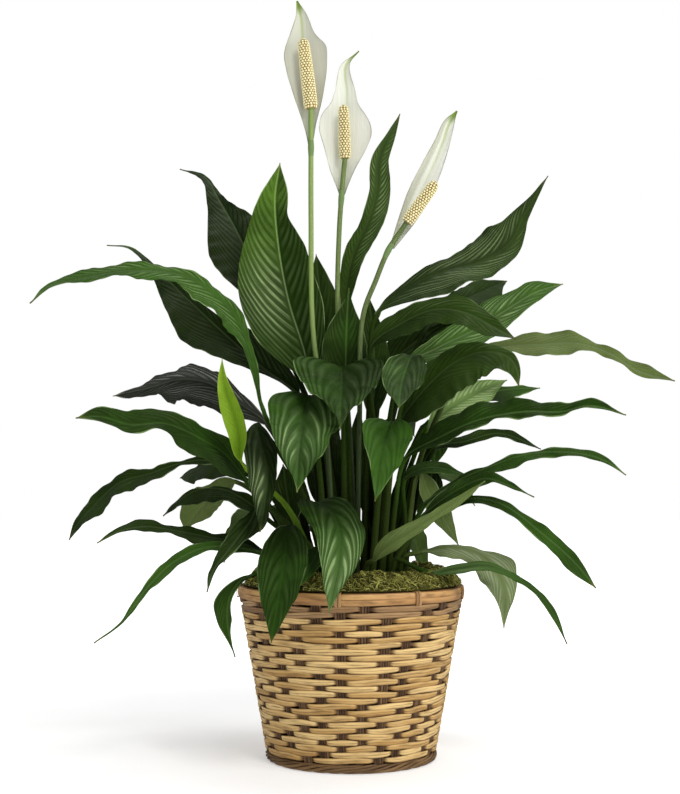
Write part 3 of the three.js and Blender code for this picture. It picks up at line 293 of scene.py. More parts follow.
def soft_curve(x, places, values):
    """A smooth curve through values: a running mean of the straight lines between them."""
    return np.mean([np.interp(np.clip(x + d, 0, 1), places, values) for d in np.linspace(-0.03, 0.03, 9)], 0)


def profile(u, peak):
    """Half width of a plain blade along its length, 1 where it is widest."""
    return (u / peak) ** (2 * peak) * ((1 - u) / (1 - peak)) ** (2 * (1 - peak))


def skin(rings, closed=False):
    """Faces over rings of equal length, joined from ring to ring; open ends get caps of quads."""
    rows, count = rings.shape[:2]
    j = np.arange(rows if closed else rows - 1)[:, None]
    i = np.arange(count)[None]
    after = (i + 1) % count
    above = (j + 1) % rows * count
    faces = np.stack([j * count + i, above + i, above + after, j * count + after], -1).reshape(-1, 4)
    if closed:
        return faces
    i = np.arange(count // 2 - 1)
    under = count - 1 - i
    last = (rows - 1) * count
    start = np.stack([i, i + 1, under - 1, under], -1)
    end = last + np.stack([i, under, under - 1, i + 1], -1)
    return np.vstack([faces, start, end])


def tubes(paths, radii, sides, closed=False, across=(0.31, 0.2, 0.93)):
    """Rings of many tubes at once. paths is (tubes, points, 3)."""
    if closed:
        tangent = unit(np.roll(paths, -1, 1) - np.roll(paths, 1, 1))
    else:
        tangent = unit(np.gradient(paths, axis=1))
    side = unit(np.cross(tangent, np.array(across)))
    up = np.cross(side, tangent)
    turn = full_circle(sides)[:, None]
    ring = side[..., None, :] * np.cos(turn) + up[..., None, :] * np.sin(turn)
    return paths[..., None, :] + ring * np.broadcast_to(radii, paths.shape[:2])[..., None, None]


def tube_faces(tube_count, points, sides, closed=False):
    rows = np.arange(points if closed else points - 1)
    t, j, i = np.meshgrid(np.arange(tube_count), rows, np.arange(sides), indexing="ij")
    base = t * points * sides + j * sides
    above = t * points * sides + (j + 1) % points * sides
    after = (i + 1) % sides
    return np.stack([base + i, above + i, above + after, base + after], -1).reshape(-1, 4)


def new_object(name, data):
    made = bpy.data.objects.new(name, data)
    bpy.context.scene.collection.objects.link(made)
    return made


class Body:
    """Gathers parts of one piece: points, faces and named values at the points."""

    def __init__(self):
        self.points = []
        self.faces = []
        self.values = []
        self.size = 0

    def add(self, points, faces, **values):
        points = points.reshape(-1, 3)
        self.points.append(points)
        self.faces.append(faces + self.size)
        self.values.append({name: np.broadcast_to(v, len(points)) if np.ndim(v) == 0 else np.ravel(v)
                            for name, v in values.items()})
        self.size += len(points)

    def add_tubes(self, paths, radii, sides, closed=False, across=(0.31, 0.2, 0.93), **values):
        rings = tubes(paths, radii, sides, closed, across)
        self.add(rings, tube_faces(*rings.shape[:3], closed), **values)

    def piece(self, name, material, slot, node, sharp=50):
        mesh = bpy.data.meshes.new(name)
        points = np.vstack(self.points) * MM
        faces = np.vstack(self.faces)
        mesh.vertices.add(len(points))
        mesh.vertices.foreach_set("co", points.astype(np.float32).ravel())
        mesh.loops.add(faces.size)
        mesh.loops.foreach_set("vertex_index", faces.astype(np.int32).ravel())
        mesh.polygons.add(len(faces))
        mesh.polygons.foreach_set("loop_start", np.arange(0, faces.size, faces.shape[1], dtype=np.int32))
        mesh.update(calc_edges=True)
        for key in self.values[0]:
            data = np.concatenate([part[key] for part in self.values])
            mesh.attributes.new(key, "FLOAT", "POINT").data.foreach_set("value", data.astype(np.float32))
        mesh.shade_smooth()
        if sharp:
            mesh.set_sharp_from_angle(angle=math.radians(sharp))
        mesh.materials.append(material)
        made = new_object(name, mesh)
        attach(made, "root")
        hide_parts(node)


# ---- material helpers -----------------------------------------------------
def colour(red, green, blue):
    """Display colour (0 to 255) as linear values."""
    def linear(c):
        c /= 255
        return c / 12.92 if c <= 0.04045 else ((c + 0.055) / 1.055) ** 2.4
    return (linear(red), linear(green), linear(blue), 1)


def new_node(tree, kind, sockets=(), **settings):
    """A shader node whose sockets get a link, a value or a display colour of three numbers."""
    node = tree.nodes.new("ShaderNode" + kind)
    for name, value in settings.items():
        setattr(node, name, value)
    for key, value in dict(sockets).items():
        if isinstance(value, bpy.types.NodeSocket):
            tree.links.new(value, node.inputs[key])
        else:
            node.inputs[key].default_value = colour(*value) if np.size(value) == 3 else value
    return node


class Shade:
    """A material made of nodes, with short calls for the nodes that this part uses."""

    def __init__(self, name, roughness, specular):
        self.material = bpy.data.materials.new(name)
        self.material.use_nodes = True
        self.tree = self.material.node_tree
        self.tree.nodes.clear()
        self.shader = self.node("BsdfPrincipled", {"Roughness": roughness, "Specular IOR Level": specular})
        self.node("OutputMaterial", {0: self.shader.outputs[0]})

    def node(self, kind, sockets=(), **settings):
        return new_node(self.tree, kind, sockets, **settings)

    def maths(self, operation, *values):
        return self.node("Math", enumerate(values), operation=operation).outputs[0]

    def times(self, first, *others):
        for other in others:
            first = self.maths("MULTIPLY", first, other)
        return first

    def plus(self, first, second):
        return self.maths("ADD", first, second)

    def value(self, name):
        return self.node("Attribute", attribute_name=name).outputs["Fac"]

    def step(self, value, low, high, to_low=0.0, to_high=1.0):
        sockets = enumerate((value, low, high, to_low, to_high))
        return self.node("MapRange", sockets, interpolation_type="SMOOTHSTEP").outputs[0]

    def object_place(self):
        """Object coordinates in metres."""
        return self.node("TexCoord").outputs["Object"]

    def noise(self, scale, detail, *where):
        """Noise over the object, or over a vector of the values given."""
        place = self.node("CombineXYZ", enumerate(where)).outputs[0] if where else self.object_place()
        return self.node("TexNoise", {"Vector": place, "Scale": scale, "Detail": detail}).outputs["Fac"]

    def start(self, factor, first, second):
        """Begins the base colour as a mix of two."""
        self.base = self.node("Mix", {0: factor, 6: first, 7: second}, data_type="RGBA").outputs[2]

    def coat(self, factor, tone):
        """Lays a colour over the base colour where the factor is high."""
        self.start(factor, self.base, tone)

    def finish(self, height=None, depth=0.0, strength=0.0, rough=None):
        self.tree.links.new(self.base, self.shader.inputs["Base Color"])
        if height is not None:
            bump = self.node("Bump", {"Strength": strength, "Distance": depth, "Height": height})
            self.tree.links.new(bump.outputs[0], self.shader.inputs["Normal"])
        if rough is not None:
            self.tree.links.new(rough, self.shader.inputs["Roughness"])
        return self.material


# ---- leaves ---------------------------------------------------------------
DRY_TIP = (112, 104, 52)


def leaf_material(name, body, light, pale, under, stem, roughness):
    s = Shade(name, roughness, 0.09)
    s.shader.inputs["Specular Tint"].default_value = (0.75, 1.0, 0.3, 1.0)
    phase = s.value("vein")
    rib = s.value("rib")
    along = s.value("along")
    tint = s.value("tint")
    dark = (*[0.5 * c for c in colour(*body)[:3]], 1)
    saw = s.times(s.maths("PINGPONG", phase, 0.5), 2.0)
    off_rib = s.step(rib, 1.0, 6.0)
    crest_highlight = s.times(s.step(saw, 0.8, 0.1), off_rib)
    groove = s.times(s.step(saw, 0.66, 1.0), off_rib, s.value("plain"))
    streak = s.step(s.noise(1.0, 3, s.times(phase, 5.0), s.times(rib, 0.06), s.times(along, 3.0)), 0.3, 0.7)
    wander = s.step(s.noise(30, 3), 0.36, 0.66, 0.12, 1.0)
    blotch = s.step(s.noise(20, 3), 0.35, 0.7)
    shade = s.plus(s.plus(s.times(blotch, 0.6), tint), s.times(streak, 0.25))
    fibre = s.noise(260, 2, phase, rib, along)
    # the petiole, with painted shade
    s.start(s.step(along, -0.7, 0.0, 0.0, 0.8), stem, light)
    s.coat(s.step(fibre, 0.35, 0.7, 0.1, 0.7), body)
    # painted shade on the petioles: dark on those behind, in the plant's core, slight on the others
    s.coat(s.step(tint, -0.3, -2.0, 0.0, 0.7), dark)
    petiole = s.base
    # the blade, its veins with painted highlight on the crests and painted shade in the grooves, painted
    # sheen, midrib, painted highlight on the margin, tip and lower face
    s.start(s.step(shade, -0.6, 1.4), body, light)
    # painted highlight on the pleats' crests and painted shade in their grooves
    s.coat(s.times(crest_highlight, wander, 0.07), pale)
    s.coat(s.times(groove, wander, 0.42), dark)
    # painted sheen: patches of painted reflection, strongest on the crests
    painted_sheen = s.times(s.value("gleam"), s.plus(0.1, s.times(crest_highlight, crest_highlight, streak, 0.9)))
    s.coat(s.maths("MINIMUM", painted_sheen, 1.0), pale)
    s.coat(s.times(s.value("midrib"), s.step(rib, 1.5, 0.3)), pale)
    # painted highlight along the margin of the blade
    s.coat(s.times(s.step(s.value("edge"), 1.3, 0.3), s.step(s.noise(25, 2), 0.5, 0.66, 0.0, 0.7)), pale)
    s.coat(s.step(along, 0.93, 1.0, 0.0, 0.35), DRY_TIP)
    s.coat(s.times(s.value("under"), 0.6), under)
    s.start(s.step(along, -0.03, 0.02), petiole, s.base)
    height = s.plus(s.times(groove, -1.0), s.times(streak, 0.3))
    height = s.plus(height, s.times(s.noise(900, 2), 0.12))
    return s.finish(height, 0.0005, 0.6, s.step(s.noise(120, 2), 0.2, 0.8, roughness - 0.07, roughness + 0.1))


# Colours of a blade's body, its light parts, its pale colour for painted sheen, painted highlights and the
# midrib line, its lower face and its petiole, and roughness.
LEAF_TONES = {
    "deep": ((14, 28, 6), (40, 62, 16), (122, 142, 96), (58, 74, 36), (46, 58, 22), 0.46),
    "mid": ((25, 43, 11), (52, 89, 25), (138, 164, 108), (72, 92, 42), (52, 66, 25), 0.44),
    "bright": ((28, 50, 10), (84, 122, 34), (166, 190, 132), (92, 122, 50), (62, 82, 28), 0.42),
    "young": ((96, 132, 26), (136, 168, 48), (176, 200, 96), (128, 160, 56), (60, 82, 28), 0.45),
    "olive": ((54, 70, 30), (96, 112, 60), (142, 154, 120), (90, 108, 52), (66, 82, 30), 0.5),
    "grey": ((25, 28, 21), (66, 69, 60), (158, 160, 154), (106, 106, 100), (48, 56, 28), 0.62),
}
LEAF_MATERIALS = {tone: leaf_material("leaf_" + tone, *looks) for tone, looks in LEAF_TONES.items()}

# Half widths of blades as they are seen in the picture at these parts of the blade's length, first on
# one side of the midrib and then on the other.
STATIONS = np.array([0.15, 0.3, 0.45, 0.6, 0.75, 0.88])
OUTLINES = {
    "a1": [26, 34, 28, 8, 3, 1.5, 26, 34, 24, 13, 6, 1.5],
    "a2": [22, 33, 30, 26, 11, 11, 34, 44, 46, 36, 23, 10.5],
    "a3": [4, 8, 7, 8.5, 9, 5, 3, 11, 12, 6, 3, 1.2],
    "a4": [20, 25, 8, 9, 3, 1.5, 3, 21, 31, 20, 6, 1.5],
    "a5": [8, 12, 16, 14.5, 9, 4, 15, 22, 22, 17, 4, 7],
    "b1": [14, 14, 13, 17, 13, 10.5, 20, 14.5, 14, 4.5, 7, 4.5],
    "b2": [5, 3, 7, 9, 8, 6, 3, 2, 8, 7, 9, 4],
    "b3": [8, 8, 6, 5, 3, 2, 12, 13, 12, 9, 6, 3],
    "b4": [6, 8, 10, 13, 12, 6, 10, 14, 18, 19, 14, 9],
    "b5": [8, 4, 1.5, 2, 3, 1.5, 8, 9, 12, 12, 6, 4],
    "b6": [8, 5.5, 7.5, 5, 8.5, 3.5, 7, 5.5, 6, 3, 3.5, 0.8],
    "b7": [6, 6.5, 7, 5, 3, 1, 4, 3, 5.5, 4, 2, 1.2],
    "b8": [5, 11, 11.5, 8, 4.5, 2.5, 14, 12, 7, 3, 2, 1.5],
    "b9": [3, 9, 14, 10.5, 5, 1.5, 3, 3, 3, 5.5, 1.5, 0.5],
    "c1": [36, 36, 31, 24.5, 15, 5, 20, 32, 36, 28, 21, 10],
    "c2": [16, 19, 20, 19.5, 12, 6, 10, 14, 9, 8, 5, 4],
    "c4": [19, 23, 24, 21, 15, 8, 20, 22, 26, 21, 12, 5],
    "c6": [26, 22.5, 16.5, 11, 6.5, 3, 20, 25, 23, 19, 13, 6],
    "c7": [46, 44, 40, 27, 13.5, 3, 40, 39, 33, 27, 14.5, 5],
    "c9": [19, 21, 19, 15, 8, 3, 20, 24, 22, 17, 9, 3],
    "d1": [7, 10, 15, 14, 9.5, 7, 8, 10, 8, 7, 8, 2],
    "d2": [16, 24, 14, 13.5, 5.5, 3, 6, 12, 18.5, 29, 13, 3],
    "d3": [8, 14, 16, 14, 12, 4, 8, 12, 12.5, 14.5, 12, 7],
    "d4": [10, 14, 15, 13, 9, 5, 10, 14, 18, 19, 12.5, 10],
    "d5": [8, 11, 12, 12, 12, 8, 14, 12, 14, 16, 11, 6],
    "d6": [4, 10, 9.5, 3.5, 3, 3, 8, 13.5, 12.5, 5, 6.5, 8.5],
    "d8": [18, 20, 23, 22, 26, 14, 10, 17, 18, 12, 7, 4],
    "d9": [8, 12, 15, 14, 9, 4, 8, 11, 13, 14, 10, 6],
    "d10": [5, 6, 3, 5.5, 2, 1, 12, 17, 16.5, 12.5, 8, 7],
    "d11": [8, 10, 9, 7, 4, 2, 6, 7, 6, 4, 3, 2],
    "d12": [4, 3, 3, 3, 2, 1.5, 6, 7, 7, 6, 5, 3],
    "d13": [5, 5, 8, 5, 3, 2, 4, 3, 3, 3, 5.5, 4],
    "d14": [4, 4.5, 5, 6, 7.5, 8.5, 3.5, 4, 5, 8.5, 7.5, 4.5],
    "d15": [8, 8, 8, 3, 1.5, 1, 8, 8, 7, 8, 5, 1.5],
    "d16": [9, 11, 7, 6, 4, 2.5, 8, 6, 5, 4, 4.5, 3],
    "d18": [9, 9, 12, 18, 13, 4.5, 3, 2, 7, 22, 12, 4.5],
    "d19": [5, 4, 3.5, 2.2, 3.5, 2.5, 5, 4, 3.5, 2.2, 3.5, 2.5],
}
# Looks of single leaves: extra light or dark of the two halves of the blade (a < 0, a > 0), partly the
# leaf's own tone and partly painted light and shade, strength of the light line on the midrib, and patches
# of painted sheen (half, middle along the blade, spread, strength).
LOOKS = {
    "a1": (-0.9, -0.8, 0.15, []),
    "a2": (-1.3, -0.6, 0.35, [(1, 0.42, 0.16, 0.9), (1, 0.25, 0.1, 0.1)]),
    "a3": (0.3, 0.3, 0.1, [(-1, 0.5, 0.3, 0.6), (1, 0.4, 0.3, 0.6)]),
    "a4": (-1.2, -1.2, 0.1, [(-1, 0.2, 0.1, 0.2)]),
    "a5": (-0.7, -0.9, 0.1, [(-1, 0.45, 0.4, 1.9), (1, 0.4, 0.4, 0.6)]),
    "b1": (-0.4, -0.4, 0.05, []),
    "c1": (0.6, 0.3, 0.05, [(-1, 0.62, 0.24, 1.3), (1, 0.5, 0.25, 0.8)]),
    "c2": (-0.8, -0.8, 0.0, [(-1, 0.6, 0.18, 2.6)]),
    "c3": (-0.3, -0.3, 0.0, []),
    "c4": (0.1, 0.1, 0.05, [(-1, 0.78, 0.26, 3.2), (1, 0.74, 0.24, 3.0)]),
    "c6": (1.0, 0.8, 0.0, [(-1, 0.92, 0.1, 0.9), (1, 0.92, 0.08, 0.5)]),
    "c7": (-0.1, -0.6, 0.0, []),
    "c8": (-0.3, -0.6, 0.05, [(-1, 0.35, 0.15, 0.2)]),
    "c9": (-0.8, -0.8, 0.1, []),
    "d1": (1.2, 1.2, 0.1, [(1, 0.72, 0.2, 1.0), (-1, 0.6, 0.3, 0.9)]),
    "d2": (0.0, -0.5, 0.05, [(-1, 0.4, 0.35, 0.9), (1, 0.5, 0.4, 0.9)]),
    "d3": (0.4, 0.4, 0.1, []),
    "d4": (0.6, 0.6, 0.3, [(-1, 0.5, 0.35, 1.3), (1, 0.5, 0.35, 1.3)]),
    "d5": (0.2, 0.5, 0.15, [(1, 0.5, 0.3, 0.3)]),
    "d6": (0.6, 0.5, 0.25, [(-1, 0.3, 0.3, 0.5), (1, 0.35, 0.3, 0.5)]),
    "d8": (0.5, 0.5, 0.15, [(1, 0.75, 0.15, 0.5)]),
    "d9": (1.2, 1.2, 0.35, [(-1, 0.55, 0.6, 4.6), (1, 0.55, 0.6, 4.6)]),
    "d10": (-0.4, -0.4, 0.15, []),
    "d16": (1.3, 1.3, 0.2, [(-1, 0.5, 0.4, 1.6), (1, 0.5, 0.4, 1.6)]),
    "d18": (1.5, 1.5, 0.2, [(1, 0.5, 0.5, 4.6), (-1, 0.5, 0.5, 4.6)]),
    "d19": (0.6, 0.6, 0.1, [(-1, 0.2, 0.3, 2.4), (1, 0.2, 0.3, 2.4)]),
}
# Blades whose pleats show plainly; the others are smoother.
VEINY = ("a2", "a3", "a5", "c1", "c2", "c3", "c4", "c7", "d1", "d2", "d4", "d9")
# How much lighter a blade grows from its base to its tip: partly painted shade and light along the
# blade, partly its own tone.
RISING = {"a2": 3.0, "a3": -0.9, "b1": -0.4, "c6": 0.3, "c4": 0.6, "d6": -0.8, "d19": -1.2}


def stem_points(foot, start, base):
    """A petiole or stalk rises steeply from the moss and then leans out to the blade's base."""
    out = base - foot
    moss_level = np.array([foot[0] + out[0] * 0.06, foot[1] + out[1] * 0.06, start + 24])
    rise = base[2] - moss_level[2]
    points = [np.array([foot[0], foot[1], start]), moss_level]
    if rise > 40:
        points.append(np.array([foot[0] + out[0] * 0.4, foot[1] + out[1] * 0.4, moss_level[2] + rise * 0.56]))
    return points


def foot_point(place, z):
    return around(place[0], math.radians(place[1]), z)


def vein_run(name, tone, half, hangs):
    """Slant of the side veins, how straight they leave the midrib, and how high the pleats stand."""
    if hangs:
        return 4.2, 0.45, 0.045
    slant = 1.45 if tone in ("bright", "young") or name == "d1" else 3.8 if half <= 24 else 2.4
    return slant, 0.75, 0.055 if tone == "bright" else 0.07


def add_leaf(body, row, points, feet, index):
    name, place, tone, half, peak, bearing, roll_base, roll_tip, fold, waves, wave_height, _ = row
    draw = np.random.default_rng(20817 + index)
    shared = isinstance(place, str)
    foot = foot_point(feet[place] if shared else place, SOIL_CROWN)
    way = stem_points(foot, SOIL_CROWN + (7 if shared else FOOT_RISE), points[0])
    line = Line([*way, *points])
    blade_start = line.at_point(len(way))
    blade = line.total - blade_start
    hangs = 240 <= bearing <= 300
    slant, ease, relief = vein_run(name, tone, half, hangs)
    t = np.linspace(-1, 1, 2 * int(min(max(11, half * (0.8 if hangs else 0.6)), 26)) - 1)
    a = 0.8 * t + 0.2 * t ** 3
    far_out = np.abs(a)
    n = len(a)

    # the petiole, with a sheath below and a slightly swollen joint under the blade
    part = np.linspace(0, 1, max(6, int(blade_start / 9)), endpoint=False)
    length = blade_start * part
    tangent = line.tangent(length)
    tangent[0] = (0, 0, 1)
    side, upper = axes_at(tangent, bearing, roll_base * part)
    low = PETIOLE_FOOT - (0.7 if shared else 0)
    radius = low + (PETIOLE_TOP - low) * part
    radius = (radius + 0.35 * smooth(length, blade_start - 16, blade_start - 6))[:, None, None]
    turn = np.radians(90) * t * (1 - 0.6 / n)
    behind = foot[1] > 0
    sheath = (1.0 if behind else 0.2) * smooth(part, 0, 0.04) * (1 - smooth(part, 0.35, 0.85))
    out = np.sin(turn)[:, None] * side[:, None] * (1 + sheath)[:, None, None]
    rise = np.cos(turn)[:, None] * upper[:, None]
    centre = line.at(length)[:, None]
    stem = two_faced(centre + radius * (out + rise), centre + radius * (out - rise))
    if not shared:
        stem = np.concatenate([stem[:1] - np.array([0, 0, ROOT]), stem])
        part = np.concatenate([[0], part])

    # the blade's half widths
    u = np.linspace(0, 1, int(blade / 2.5) + 1)
    length = blade_start + blade * u
    side, upper = axes_at(line.tangent(length), bearing, roll_base + (roll_tip - roll_base) * u)
    swell = np.sin(np.pi * u)[:, None]
    neck = (PETIOLE_TOP + 0.2) * (1 - smooth(u, 0, 0.07))
    wide = np.maximum(half * profile(np.clip(u, 1e-4, 0.9995), peak), neck)
    wide = np.maximum(wide, 0.9 * (1 - 0.6 * smooth(u, 0.93, 1)))
    halves = np.stack([wide, wide], 1)
    tilt = np.radians(fold + 16 * (1 - u) ** 3)
    if name in OUTLINES:
        spot = line.at(length)
        ahead = unit(picture(line.at(length + 1)) - picture(line.at(length - 1)))
        for k, sign in enumerate((-1, 1)):
            way = sign * side * np.cos(tilt)[:, None] + upper * np.sin(tilt)[:, None]
            step = (picture(spot + way) - picture(spot - way)) / 2
            ratio = np.abs(ahead[:, 0] * step[:, 1] - ahead[:, 1] * step[:, 0])
            ratio = np.interp(STATIONS, u, np.maximum(ratio, 0.3))
            seen_half = np.array(OUTLINES[name][6 * k:6 * k + 6])
            share = np.clip(seen_half / ratio / (half * profile(STATIONS, peak)), 0.05, 1.9)
            halves[:, k] = np.maximum(halves[:, k] * soft_curve(u, STATIONS, share), np.maximum(neck, 0.6))
    local = np.where(a < 0, halves[:, :1], halves[:, 1:])
    out = far_out * local

    # its fold, waves, ripples of the margin, pleats and midrib
    u = u[:, None]
    tilt = tilt[:, None]
    wave = wave_height * swell * np.sin(FULL_TURN * waves * u) * a * a * np.where(a < 0, -0.8, 1)
    ripple_count = blade / draw.uniform(15, 20)
    ripple = np.sin(FULL_TURN * (ripple_count * u + draw.uniform() + 0.3 * (a < 0)))
    wave = wave + ripple * (0.45 + 0.02 * local) * far_out ** 3 * swell
    crowd = math.hypot(1, 0.75 * slant) / 1.25
    spacing = (2.0 + 0.21 * half) * crowd * (1.3 if hangs else 1)
    fan = 0.45 + 0.55 * smooth(u, 0, 0.6) if hangs else 1
    phase = (blade * u - slant * fan * out * (ease + (1.35 - ease) * a * a)) / spacing
    pleat = np.cos(FULL_TURN * phase) * relief * spacing / crowd * smooth(out, 1.0, 6) * smooth(local, 4, 12)
    plain = 1.0 if name in VEINY else 0.45
    pleat = pleat * (1 - 0.75 * far_out ** 3) * draw.uniform(0.8, 1.1) * (0.4 + 0.6 * plain)
    lift = out * np.sin(tilt) + wave + pleat - 0.12 * swell * a * a * local
    thick = 0.28 + 0.35 * (1 - far_out) ** 2
    slim = np.maximum(1 - u, 0)
    rib = (0.35 + 1.5 * slim ** 1.3) * np.exp(-(out / (0.9 + 1.3 * slim)) ** 2)
    over = 0.25 + 0.75 * (1 - smooth(u, 0, 0.09))
    groove = 0.35 * np.exp(-(out / 1.1) ** 2) * smooth(u, 0.03, 0.12)
    centre = line.at(length)[:, None] + (np.sign(a) * out * np.cos(tilt))[..., None] * side[:, None]
    top = centre + (lift + thick + rib * over - groove)[..., None] * upper[:, None]
    under = centre + (lift - thick - rib)[..., None] * upper[:, None]

    # its light and dark: its own tone, painted shade towards the base and in the core, and painted sheen
    tints = draw.uniform(-0.25, 0.25)
    plain_looks = (0, 0, 0.12, [(1, draw.uniform(0.2, 0.8), 0.2, 0.25)])
    low_tint, high_tint, light_rib, patches = LOOKS.get(name, plain_looks)
    shades = tints + np.where(a < 0, low_tint, high_tint) * smooth(out, 0, 2)
    # painted shade: every blade darker towards its base, in the plant's core
    shades = shades - 0.6 * (1 - smooth(u, 0, 0.5)) + RISING.get(name, 0) * (u - 0.6)
    # painted sheen: patches of painted reflection on the blade
    gleam = 0 * out + 0.03
    for half_sign, middle, spread, strength in patches:
        near = np.exp(-((u - middle) / spread) ** 2) * np.exp(-((far_out - 0.45) / 0.42) ** 2)
        gleam = gleam + strength * near * (np.sign(a) == half_sign)

    def values(on_stem, on_top, on_under=None):
        stem_values = np.zeros((len(stem), 2 * n)) + on_stem
        return np.concatenate([stem_values, two_faced(on_top, on_top if on_under is None else on_under)])

    grid = np.concatenate([stem, two_faced(top, under)])
    level = 0 * out
    body.add(
        grid, skin(grid), plain=plain,
        vein=values(0, phase), rib=values(4, out), along=values((part - 1.06)[:, None], u + level),
        # the petioles' tint carries painted shade: much on those behind, in the plant's core, a little on the
        # others
        tint=values(tints - (1.8 if behind else 0.6), shades), gleam=values(0, gleam),
        edge=values(9, local - out), midrib=values(0, level + light_rib), under=values(0, level, level + 1),
    )


feet = {row[0]: row[1] for row in LEAVES + FAR_LEAVES}
tones = {row[0]: row[2] for row in LEAVES + FAR_LEAVES}
leaf_bodies = {}
for index, row in enumerate(LEAVES + FAR_LEAVES):
    if index < len(LEAVES):
        places = all_seen(row[-1])
    else:
        places = [foot_point([r, row[5]], z) for r, z in np.reshape(row[-1], (-1, 2))]
    owner = row[1] if isinstance(row[1], str) else row[0]
    add_leaf(leaf_bodies.setdefault((owner, row[2]), Body()), row, places, feet, index)
for (owner, tone), body in leaf_bodies.items():
    label = "_blade" if tones[owner] == tone else "_second_blade"
    body.piece("leaf_" + owner + label, LEAF_MATERIALS[tone], "leaf_" + tone, "leaf_" + owner)


# ---- blooms ---------------------------------------------------------------
def stalk_material():
    s = Shade("bloom_stalk", 0.42, 0.4)
    turn = s.value("turn")
    streak = s.noise(40, 3, turn, s.times(s.value("along"), 0.6), 0.0)
    s.start(s.value("tint"), (50, 70, 28), (124, 150, 74))
    s.coat(s.step(streak, 0.35, 0.7, 0.0, 0.45), (172, 190, 118))
    # painted shade down one side of the stalk
    s.coat(s.step(turn, 0.55, 0.95, 0.0, 0.55), (60, 84, 34))
    # painted shade: the stalk darker low down, among the leaves
    height = s.node("SeparateXYZ", {0: s.object_place()}).outputs[2]
    s.coat(s.step(height, 0.34, 0.46, 0.9, 0.0), (44, 62, 22))
    return s.finish(streak, 0.0004, 0.4)


def spathe_material():
    s = Shade("bloom_spathe", 0.5, 0.3)
    rib = s.value("rib")
    along = s.value("along")
    lines = s.noise(1.0, 2, s.times(rib, 0.9), s.times(along, 2.5), s.value("under"))
    # painted shade: grey where the spathe is painted as shaded
    s.start(s.value("grey"), (236, 237, 230), (176, 177, 162))
    s.coat(s.step(lines, 0.35, 0.7, 0.0, 0.35), (204, 207, 188))
    # the greenish heart, the midrib, painted shade along the margin, the tip and the neck
    s.coat(s.times(s.step(rib, 2, 15, 1.0, 0.0), s.step(along, 0.02, 0.3, 1.0, 0.45), 0.55), (178, 184, 150))
    s.coat(s.times(s.step(rib, 0.5, 2.2, 1.0, 0.0), s.step(along, 0.35, 0.95, 0.08, 0.6)), (150, 168, 88))
    # painted shade: a thin grey line along the margin
    margin = s.step(s.noise(60, 2), 0.35, 0.65, 0.2, 0.85)
    s.coat(s.times(s.step(s.value("edge"), 1.3, 0.4), margin), (134, 136, 118))
    s.coat(s.step(s.maths("SUBTRACT", along, s.times(rib, 0.006)), 0.88, 0.97), (112, 136, 48))
    s.coat(s.step(along, -0.04, 0.05, 0.9, 0.0), (92, 122, 56))
    return s.finish(lines, 0.0002, 0.3)


def spadix_material():
    s = Shade("bloom_spadix", 0.62, 0.3)
    spots = s.noise(700, 2)
    # painted shade: the core and the foot of each floret dark ochre, the floret tops cream
    s.start(s.step(s.value("bead"), 0.15, 0.7), (150, 124, 60), (240, 230, 178))
    s.coat(s.step(spots, 0.5, 0.75, 0.0, 0.5), (250, 244, 212))
    return s.finish(spots, 0.0003, 0.5)


STALK_MATERIAL = stalk_material()
SPATHE_MATERIAL = spathe_material()
SPADIX_MATERIAL = spadix_material()

# Half widths of each spathe, left and right in front view, at parts of its midrib.
SPATHE_WIDTHS = {
    "left": ([0, 0.08, 0.16, 0.33, 0.49, 0.62, 0.68, 0.78, 0.92, 1],
             [2, 4, 7.3, 14.6, 20, 21.5, 19.5, 12.5, 4.2, 0.5], [2, 4, 6, 14, 20, 23.5, 23.5, 12, 5.5, 0.5]),
    "middle": ([0, 0.05, 0.16, 0.30, 0.42, 0.50, 0.56, 0.62, 0.76, 0.87, 0.92, 1],
               [2, 5, 12.7, 20, 28, 28, 25, 16.8, 10.5, 5.5, 1.6, 0.5],
               [2, 4.5, 11.3, 21.5, 27.5, 25, 19, 11.5, 7.2, 4.4, 1.4, 0.5]),
    "right": ([0, 0.2, 0.36, 0.5, 0.65, 0.78, 0.86, 0.92, 0.96, 1],
              [2, 7.5, 11, 12, 11, 8.5, 7.5, 6, 3, 0.5], [2, 9, 12, 12, 10, 7.5, 6.5, 5.5, 2.5, 0.5]),
}


